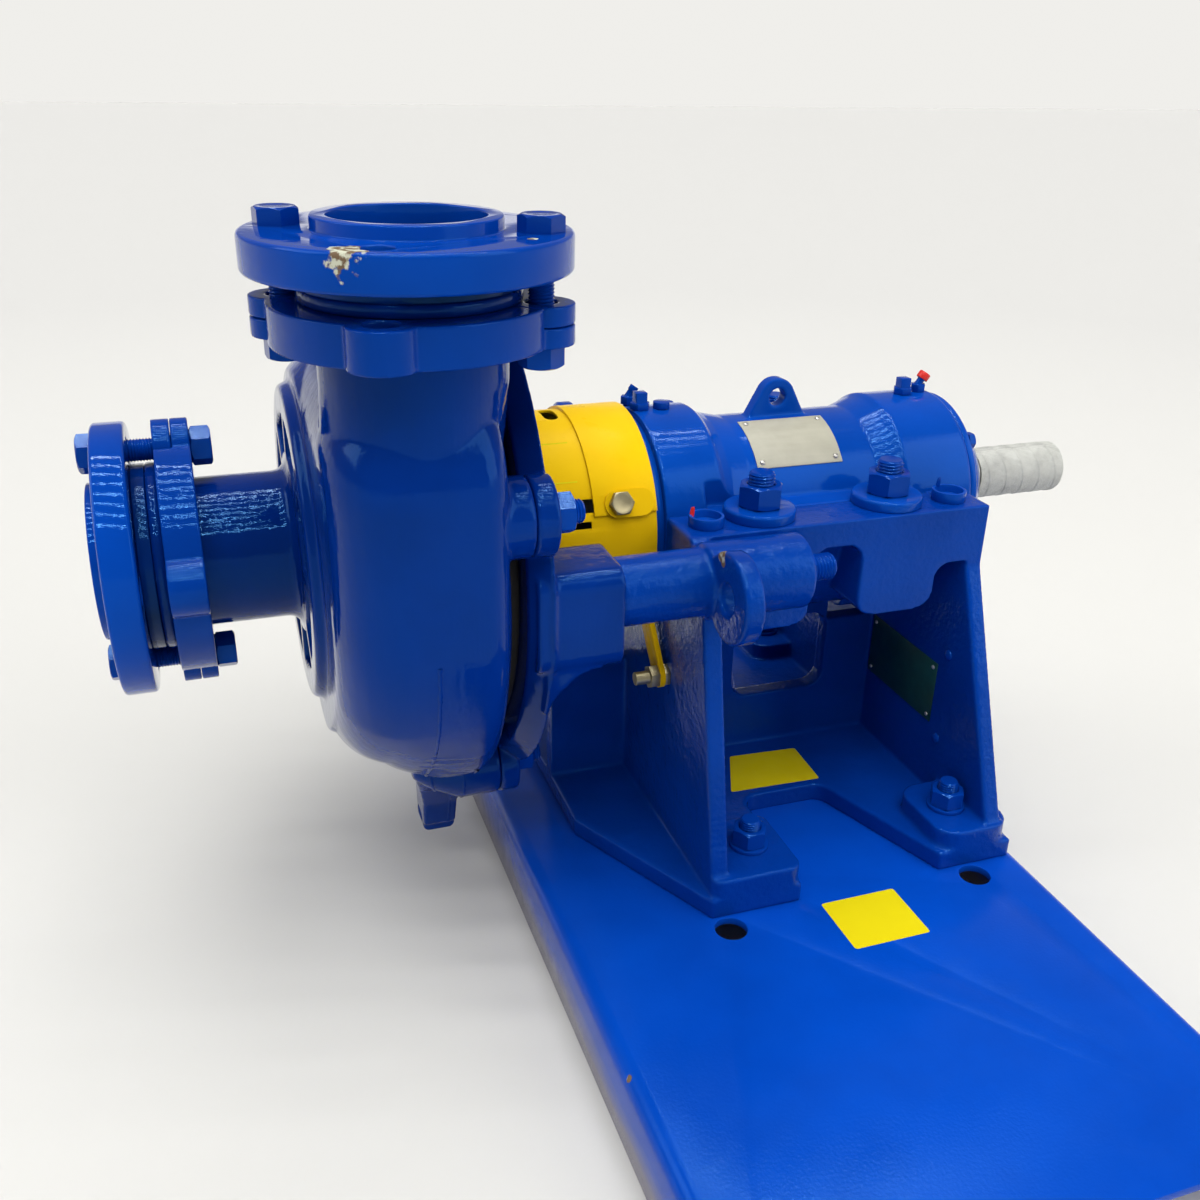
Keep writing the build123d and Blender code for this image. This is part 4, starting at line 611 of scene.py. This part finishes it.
def up_way(middle):
    """Nuts and heads that face up."""
    return (0, 0, 1)


def down_way(middle):
    """Heads that face down."""
    return (0, 0, -1)


def drive_way(middle):
    """Nuts and heads that face the drive end."""
    return (1, 0, 0)


fasteners("foot_bolts", down_way, blue_bolt, plain=20.0)
fasteners("foot_nuts", up_way, blue_bolt)
rounded("foot_washers", 0.5, blue_bolt)

# Bearing housing: a grey iron casting, turned at both ends, with its lifting lug cast on top.
# Brighter than the webs, since it faces the light; its end covers are turned and screwed on.
blue_barrel = paint(
    "blue_barrel", (0.0008, 0.056, 0.40), (0.0006, 0.044, 0.32), peel=0.15, cast=0.05, gloss=0.06,
)
cast("bearing_housing", 1.2, blue_barrel, passes=4)
rounded("pump_end_cover", 0.8, blue_barrel)
rounded("drive_end_cover", 0.8, blue_barrel)


def cover_way(middle):
    """Away from the housing's middle, along the shaft."""
    return (1 if middle.x > at(320).x else -1, 0, 0)


fasteners("cover_screws", cover_way, blue_bolt)

# Grease plugs, a flat button and two angled nipples in the housing; the drive end's nipple wears a cap.
# Plated steel painted over, and a cap of soft red plastic that was pushed on after painting.
rounded("grease_plugs", 0.5, blue_bolt)
rounded("grease_nipples", 0.3, blue_bolt)
red_plastic, add, link, shader = node_tree("red_plastic")
red_tones = [(0.3, (0.62, 0.012, 0.008)), (0.7, (0.72, 0.02, 0.012))]
link(ramp(add, link, grain(add, link, 300.0), red_tones), shader.inputs["Base Color"])
shader.inputs["Roughness"].default_value = 0.35
bumps(add, link, shader, [(grain(add, link, 900.0), 0.0001, 0.2)])
rounded("nipple_cap", 0.5, red_plastic)

# Plates: a pale metal one curved round the barrel and a dark green one on the rear web, both blank.
# Thin sheet, held by four small domed rivets each; two painted plugs close spare holes in the web.


def sheet_metal(name, pale, dark, roughness, metallic):
    """Rolled or turned metal with fine lines one way and faint blotches."""
    material, add, link, shader = node_tree(name)
    rolled = grain(add, link, 180.0, 4.0, (0.15, 1, 1))
    blotch = grain(add, link, 45.0, 5.0)
    mixed = add("ShaderNodeMath", operation="MULTIPLY_ADD")
    mixed.inputs[1].default_value = 0.4
    link(rolled, mixed.inputs[0])
    link(blotch, mixed.inputs[2])
    tone = ramp(add, link, mixed.outputs["Value"], [(0.45, dark), (0.85, pale)])
    link(tone, shader.inputs["Base Color"])
    shader.inputs["Metallic"].default_value = metallic
    shader.inputs["Roughness"].default_value = roughness
    bumps(add, link, shader, [(rolled, 0.0001, 0.15), (blotch, 0.0004, 0.05)])
    return material


pale_plate = sheet_metal("pale_plate", (0.40, 0.39, 0.32), (0.33, 0.32, 0.26), 0.5, 0.0)
green_plate = sheet_metal("green_plate", (0.006, 0.058, 0.050), (0.003, 0.034, 0.030), 0.4, 0.0)
steel_rivet = sheet_metal("steel_rivet", (0.60, 0.59, 0.56), (0.45, 0.44, 0.42), 0.3, 0.8)


def rivet(bm, place, radius):
    """Low domed head on a short rim."""
    rim = 0.2
    dome = [(0.86, 0.36), (0.5, 0.56), (0.15, 0.62)]
    profile = [(radius, 0.0), (radius, rim)] + [(radius * wide, radius * tall) for wide, tall in dome]
    rings = [circle(r, z, 20) for r, z in profile]
    skin_rings(bm, place, rings, start="closed", end="closed")


def plate_rivets(name, node, places, radius, material):
    """One piece with a domed head at each (point, outward) place."""
    bm = bmesh.new()
    for point, outward in places:
        rivet(bm, seat(point, outward, Vector(outward).orthogonal()), radius)
    finish_piece(bm, name, material, body_of(node))


def extent(node):
    """Smallest and largest corner of a CAD node."""
    points = [vert.co for vert in frame["nodes"][node].data.vertices]
    return [Vector([pick(p[k] for p in points) for k in range(3)]) for pick in (min, max)]


rounded("barrel_plate", 0.15, pale_plate)
rounded("web_plate", 0.2, green_plate)
low, high = extent("barrel_plate")
barrel_points = [vert.co for vert in frame["nodes"]["barrel_plate"].data.vertices]
angles = [math.atan2(p.z - shaft_end.z, p.y - shaft_end.y) for p in barrel_points]
plate_face = max(math.hypot(p.y - shaft_end.y, p.z - shaft_end.z) for p in barrel_points)
inset = 5.0 * millimetre
barrel_spots = []
for x in (low.x + inset, high.x - inset):
    for angle in (min(angles) + inset / plate_face, max(angles) - inset / plate_face):
        outward = Vector((0, math.cos(angle), math.sin(angle)))
        barrel_spots.append((Vector((x, shaft_end.y, shaft_end.z)) + outward * plate_face, outward))
plate_rivets("barrel_plate_rivets", "barrel_plate", barrel_spots, 2.2, steel_rivet)
low, high = extent("web_plate")
web_spots = [
    (Vector((low.x, y, z)), (-1, 0, 0))
    for y in (low.y + inset, high.y - inset)
    for z in (low.z + inset, high.z - inset)
]
plate_rivets("web_plate_rivets", "web_plate", web_spots, 1.8, steel_rivet)
web_plugs = [(at(424.2, -122, -106), (-1, 0, 0)), (at(424.2, -122.5, -183.5), (-1, 0, 0))]
plate_rivets("web_plugs", "pedestal", web_plugs, 4.5, blue_bolt)

# Shaft: bright turned steel; its drive end is wrapped in whitish woven tape against rust.
# The tape runs round in overlapping turns, with small folds, and is cut off at the shaft's end.
turned_steel, add, link, shader = node_tree("turned_steel")
lathe = grain(add, link, 900.0, 2.0, (1, 0.02, 0.02))
turned_tones = [(0.3, (0.42, 0.42, 0.42)), (0.7, (0.58, 0.58, 0.57))]
link(ramp(add, link, lathe, turned_tones), shader.inputs["Base Color"])
shader.inputs["Metallic"].default_value = 1.0
shader.inputs["Roughness"].default_value = 0.3
bumps(add, link, shader, [(lathe, 0.0001, 0.2)])
rounded("shaft", 0.4, turned_steel)
oiled_steel = sheet_metal("oiled_steel", (0.05, 0.045, 0.035), (0.02, 0.018, 0.015), 0.4, 0.3)
rounded("shaft_sleeve", 0.4, oiled_steel)

tape, add, link, shader = node_tree("woven_tape")
weave_place = add("ShaderNodeTexCoord")
waves = []
for direction, pitch in (("X", 520.0), ("Z", 420.0)):
    wave = add("ShaderNodeTexWave", bands_direction=direction, Scale=pitch, Distortion=3.0)
    wave.inputs["Detail Scale"].default_value = 2.0
    link(weave_place.outputs["Object"], wave.inputs["Vector"])
    waves.append(wave.outputs["Fac"])
weave = add("ShaderNodeMath", operation="ADD")
link(waves[0], weave.inputs[0])
link(waves[1], weave.inputs[1])
grime = add("ShaderNodeMath", operation="MULTIPLY_ADD")
grime.inputs[1].default_value = 0.25
link(weave.outputs["Value"], grime.inputs[0])
link(grain(add, link, 70.0, 5.0), grime.inputs[2])
tape_tones = [(0.35, (0.22, 0.22, 0.21)), (0.6, (0.46, 0.47, 0.45)), (0.95, (0.60, 0.61, 0.58))]
link(ramp(add, link, grime.outputs["Value"], tape_tones), shader.inputs["Base Color"])
shader.inputs["Roughness"].default_value = 0.45
creases = grain(add, link, 160.0, 5.0)
bumps(add, link, shader, [(weave.outputs["Value"], 0.0005, 0.5), (creases, 0.001, 0.4)])
tape_front, tape_rear = 506.0, 590.8
tape_radius = 21.5
tape_turn = 17.0
tape_thickness = 0.5
end_gap = 0.15
folds = random.Random(7)
waver = [folds.uniform(0, 2 * math.pi) for _ in range(6)]
bm = bmesh.new()
rings = []
steps = 96
rows = 120
for row in range(rows + 1):
    z = tape_front + (tape_rear - tape_front) * row / rows
    ring = []
    for i in range(steps):
        turn = 2 * math.pi * i / steps
        lap = ((z - tape_front) / tape_turn - i / steps) % 1.0
        long_fold = 0.09 * math.sin(9 * turn + waver[0] + 0.21 * z)
        short_fold = 0.07 * math.sin(23 * turn + waver[1] - 0.4 * z)
        radius = tape_radius + tape_thickness * (1 - lap) ** 2 + (long_fold + short_fold)
        ring.append((radius * math.cos(turn), radius * math.sin(turn), z))
    rings.append(ring)
rings.append(circle(tape_radius - 2.5, tape_rear + end_gap, steps))
rings.append(circle(tape_radius - 8, tape_rear + end_gap, steps))
along_shaft = seat(at(0), (1, 0, 0), (0, 1, 0))
skin_rings(bm, along_shaft, rings)
finish_piece(bm, "shaft_tape", tape, "rotor", crease=60.0)

# Clamps: four M20 studs with thick turned washers and nuts hold the housing's ledges on the rails.
# The spare tapped holes beside them carry open cups, two of them with the tab of a lost plug.
fasteners("clamp_studs", up_way, blue_bolt)
fasteners("clamp_nuts", up_way, blue_bolt)
rounded("clamp_washers", 0.8, blue_barrel, 3)
rounded("rail_caps", 0.6, blue_barrel)


def tab(name, point, material):
    """Torn strip of a plug that stands up from a cup's rim."""
    bm = bmesh.new()
    half_thickness = 0.7
    outline = [(-1.6, 0), (1.6, 0), (1.5, 5.0), (0.6, 7.5), (-1.2, 7.0), (-1.7, 4.0)]
    front = [(x, -half_thickness, z) for x, z in outline]
    back = [(x * 0.9, half_thickness, z * 0.96) for x, z in outline]
    place = seat(point, (0.2, 0.1, 1), (1, 0.2, 0))
    skin_rings(bm, place, [front, back], start="closed", end="closed")
    finish_piece(bm, name, material, "pump")


cup_rim = 30.0
tab("front_cup_tab", at(201, -100, cup_rim - 2), red_plastic)
tab("rear_cup_tab", at(410, -94, cup_rim - 1), blue_bolt)

# Adjusting screw: an M16 screw in the rear web that pushes the housing along its rails.
# Plated steel painted over, with a plain end where it bears on the housing.
fasteners("adjusting_screw", drive_way, blue_bolt, plain=14.0)

# Casing: a scroll cast in hard iron, with the throatbush seated in its hub and the impeller inside.
# The pump's blue lies thickest here, over cast skin with a raised parting line, and is painted darker
# than the rest as painted shade;
# the parts inside are bare iron, painted near black as painted shade.
shaded_blue_casing = paint(
    "shaded_blue_casing", (0.0005, 0.024, 0.215), (0.0004, 0.016, 0.15), peel=0.15, cast=0.07, sags=0.25,
    gloss=0.03,
)
shade_black_iron, add, link, shader = node_tree("shade_black_iron")
skin_tone = grain(add, link, 90.0, 6.0)
# The iron's tones are painted near black, far darker than bare iron: painted shade for parts seen in
# gaps and in the casing's mouth.
shade_black_tones = [(0.3, (0.006, 0.006, 0.006)), (0.6, (0.014, 0.013, 0.012)), (0.8, (0.03, 0.02, 0.014))]
link(ramp(add, link, skin_tone, shade_black_tones), shader.inputs["Base Color"])
shader.inputs["Roughness"].default_value = 0.7
bumps(add, link, shader, [(skin_tone, 0.0008, 0.4)])
lug_sections = [
    (-27, -250, 11, 37), (-33, -226, 10, 38), (-44, -205, 6, 40), (-66, -180, -1, 43),
    (-96, -148, -10, 47),
]
lug_depth = 34.0
lug_draft = 6.0


def lug_flare(bm):
    """Foot lug's near face, flaring up into the scroll; sections are (across, height, front, rear)."""
    rings = []
    for across, height, front, rear in lug_sections:
        corners = [(front, 0, 0), (rear, 0, 0)]
        corners += [(rear, lug_depth, lug_draft), (front, lug_depth, lug_draft)]
        rings.append([at(x, across + dy, height + dz) / millimetre for x, dy, dz in corners])
    skin_rings(bm, Matrix.Identity(4), rings, start="closed", end="closed")


def clamped(share):
    """Number kept between 0 and 1."""
    return max(0.0, min(1.0, share))


draft_pull = 16


def slim_suction_side(point):
    """Draws the scroll's lower suction side in, where the mould has more draft."""
    station = (point.x - pump_x) / millimetre
    across = (point.y - shaft_end.y) / millimetre
    height = (point.z - shaft_end.z) / millimetre
    radius = math.hypot(across, height)
    lower = clamped((-height / max(radius, 1) - 0.35) / 0.4)
    ahead_of_seam = clamped((16 - station) / 45)
    outer_skin = clamped((radius - 138) / 20)
    off_lug = clamped((height + 210) / 30)
    pull = draft_pull * lower * ahead_of_seam ** 1.5 * outer_skin * off_lug
    left = 1 - pull / max(radius, 1)
    return at(station, across * left, height * left)


casing = cast("volute_casing", 1.5, shaded_blue_casing, passes=14, more=lug_flare, reshape=slim_suction_side)


seam_sink = 0.5


def seam(name, piece, places, half_width, rise, material, body):
    """Raised parting line on a casting; places are (from, towards) points of rays to its skin."""
    skin = BVHTree.FromObject(piece, bpy.context.evaluated_depsgraph_get())
    waver = random.Random(5)
    bm = bmesh.new()
    rows = []
    for start, target in places:
        spot, normal, _, _ = skin.ray_cast(start, (target - start).normalized())
        if spot is None:
            continue
        half = half_width * waver.uniform(0.7, 1.2) * millimetre
        top = rise * waver.uniform(0.5, 1.2) * millimetre
        side = Vector((waver.uniform(0.9, 1.1) * half, 0, 0))
        sunk = normal * seam_sink * millimetre
        rows.append([bm.verts.new(co) for co in (
            spot - 1.6 * side - sunk, spot - 0.6 * side + normal * top,
            spot + 0.6 * side + normal * top, spot + 1.6 * side - sunk,
        )])
    for low, high in zip(rows, rows[1:]):
        for i in range(3):
            bm.faces.new((low[i], low[i + 1], high[i + 1], high[i]))
    return finish_piece(bm, name, material, body, crease=70.0)


outside = 230
seam_rays = []
for step in range(130):
    angle = 184 + step * 0.58
    turn = math.radians(angle)
    drift = clamped((angle - 218) / 40)
    station = -4 + 30 * drift * drift
    start = at(station, outside * math.cos(turn), outside * math.sin(turn))
    seam_rays.append((start, at(station)))
seam("casing_seam", casing, seam_rays, 1.1, 0.9, shaded_blue_casing, "pump")
lug_station = 31
lug_rays = []
for step in range(60):
    height = -166 - step * 1.5
    lug_rays.append((at(lug_station, -outside, height + 60), at(lug_station, 0, height)))
seam("lug_seam", casing, lug_rays, 1.0, 0.8, shaded_blue_casing, "pump")
rounded("throatbush", 0.6, shade_black_iron)
rounded("impeller", 0.6, shade_black_iron)

# Adapter ring: the casting that holds the casing to the pedestal with two arms, all on studs and nuts.
# Painted as the casing is; its studs and nuts were painted in place.
cast("adapter_ring", 1.5, shaded_blue_casing, passes=5)
fasteners("arm_studs", drive_way, blue_bolt, trim=-12.0)
fasteners("arm_nuts", drive_way, blue_bolt)
fasteners("casing_studs", drive_way, blue_bolt)
fasteners("casing_nuts", drive_way, blue_bolt)

# Stuffing box, packing, gland and the parts on the shaft, mostly hidden below the guard.
# Cast iron painted near black as painted shade, greased packing cord, a bronze lantern ring, oiled
# studs with nuts and rubber seals.
cast("stuffing_box", 1.5, shade_black_iron, passes=3)
rounded("gland", 0.8, shade_black_iron)
fasteners("gland_studs", drive_way, oiled_steel)
fasteners("gland_nuts", drive_way, oiled_steel)
cord, add, link, shader = node_tree("packing_cord")
plait = grain(add, link, 240.0, 3.0, (1, 0.3, 1))
cord_tones = [(0.3, (0.10, 0.09, 0.06)), (0.7, (0.30, 0.27, 0.19))]
link(ramp(add, link, plait, cord_tones), shader.inputs["Base Color"])
shader.inputs["Roughness"].default_value = 0.8
bumps(add, link, shader, [(plait, 0.001, 0.6)])
rounded("packing_rings", 0.8, cord)
bronze = sheet_metal("lantern_bronze", (0.60, 0.36, 0.12), (0.45, 0.26, 0.09), 0.35, 0.9)
rounded("lantern_ring", 0.3, bronze)
black_rubber, add, link, shader = node_tree("black_rubber")
matt = grain(add, link, 400.0, 3.0)
rubber_tones = [(0.3, (0.012, 0.012, 0.012)), (0.7, (0.030, 0.029, 0.028))]
link(ramp(add, link, matt, rubber_tones), shader.inputs["Base Color"])
shader.inputs["Roughness"].default_value = 0.6
bumps(add, link, shader, [(matt, 0.0002, 0.3)])
rounded("shaft_seals", 0.3, black_rubber)

# Bearings: hardened rings and rollers inside the housing, ground bright, with a locknut on the shaft.
ground_steel = sheet_metal("ground_steel", (0.66, 0.66, 0.65), (0.58, 0.58, 0.57), 0.22, 1.0)
for bearing_part in (
    "pump_bearing_outer_ring", "drive_bearing_outer_ring",
    "pump_bearing_inner_ring", "drive_bearing_inner_ring", "bearing_locknut",
):
    rounded(bearing_part, 0.3, ground_steel)

# Pipe flanges: a loose steel flange and a split cast ring on each neck, pulled together by M16 bolts.
# The upper flange's rim is worn to the primer in a few places; the joint seals are painted over.
worn_spots = [(at(-44, -208, 232), 0.023), (at(-113, -165, 238), 0.012), (at(58, -190, 236), 0.006)]
blue_flange = paint(
    "blue_flange", (0.0008, 0.050, 0.38), (0.0006, 0.040, 0.31), peel=0.12, cast=0.02, sags=0.08,
    gloss=0.03, chips=worn_spots,
)
blue_ring = paint(
    "blue_ring", (0.0007, 0.040, 0.31), (0.0006, 0.030, 0.25), peel=0.15, cast=0.05, sags=0.12,
    gloss=0.03,
)
rounded("discharge_flange", 1.2, blue_flange, 3)
rounded("suction_flange", 1.2, blue_flange, 3)
for ring_half in (
    "discharge_ring_front", "discharge_ring_rear", "suction_ring_near", "suction_ring_far",
):
    cast(ring_half, 0.9, blue_ring, passes=4, keep=0.5)
blue_seal = paint("blue_seal", (0.0006, 0.030, 0.24), (0.0015, 0.004, 0.012), peel=0.3, gloss=0.06)
rounded("joint_seals", 0.8, blue_seal, 3)
discharge_face = mounts["discharge_port"]["pos_m"][2]
flange_room = 0.1


def port_way(middle):
    """Up on the discharge flange, forward on the suction flange."""
    return (0, 0, 1) if middle.z > discharge_face - flange_room else (-1, 0, 0)


def under_port_way(middle):
    """Back from each flange's face, as its nuts sit."""
    return Vector(port_way(middle)) * -1


fasteners("flange_bolts", port_way, blue_bolt, trim=9.0)
fasteners("flange_nuts", under_port_way, blue_bolt)

# Gland guard: yellow steel sheet rolled round the gland, its upper half lapped over by the lower band.
# Two slotted tabs with plated bolts join the halves; stays hold it to the adapter's arms.
guard_yellow = paint(
    "guard_yellow", (0.83, 0.52, 0.004), (0.76, 0.46, 0.004), peel=0.12, gloss=0.24,
    shine=0.2, gleam=(1, 0.8, 0.1),
)
zinc = sheet_metal("zinc_plate", (0.40, 0.35, 0.21), (0.24, 0.21, 0.13), 0.42, 0.85)
rounded("guard_upper", 0.5, guard_yellow)
rounded("guard_lower", 0.5, guard_yellow)


def radial_way(middle):
    """Straight out from the shaft's line."""
    return (0, middle.y - shaft_end.y, middle.z - shaft_end.z)


fasteners("guard_bolts", radial_way, zinc)


def round_guard(name, outline, radius, thickness, material):
    """Thin plate that follows the guard's roundness; outline is (station, arc) in millimetres."""
    bm = bmesh.new()
    rings = []
    for level in (radius, radius + thickness):
        ring = []
        for station, arc in outline:
            turn = arc / radius
            ring.append(at(station, -level * math.cos(turn), level * math.sin(turn)) / millimetre)
        rings.append(ring)
    skin_rings(bm, Matrix.Identity(4), rings, start="closed", end="closed")
    return finish_piece(bm, name, material, "pump")


def stadium(front, rear, low, high, steps=10):
    """Outline of a slot's shape, round at both ends."""
    half = (high - low) / 2
    points = []
    for centre, start in ((rear - half, -90), (front + half, 90)):
        for step in range(steps + 1):
            turn = math.radians(start + 180 * step / steps)
            points.append((centre + half * math.cos(turn), low + half + half * math.sin(turn)))
    return points


band_face = 84.2
bolt_arc = band_face * math.radians(24)
tab_half = 10
tab_outline = stadium(143, 181, bolt_arc - tab_half, bolt_arc + tab_half)
round_guard("guard_tab", tab_outline, band_face - 0.2, 1.6, guard_yellow)
sheet_face = 82.0
label_low = sheet_face * math.radians(37)
label_high = label_low + 34
label_outline = [(99, label_low), (126, label_low), (126, label_high), (99, label_high)]
round_guard("guard_label", label_outline, sheet_face, label_thickness, label_yellow)
rounded("stay_bolts", 0.3, zinc)
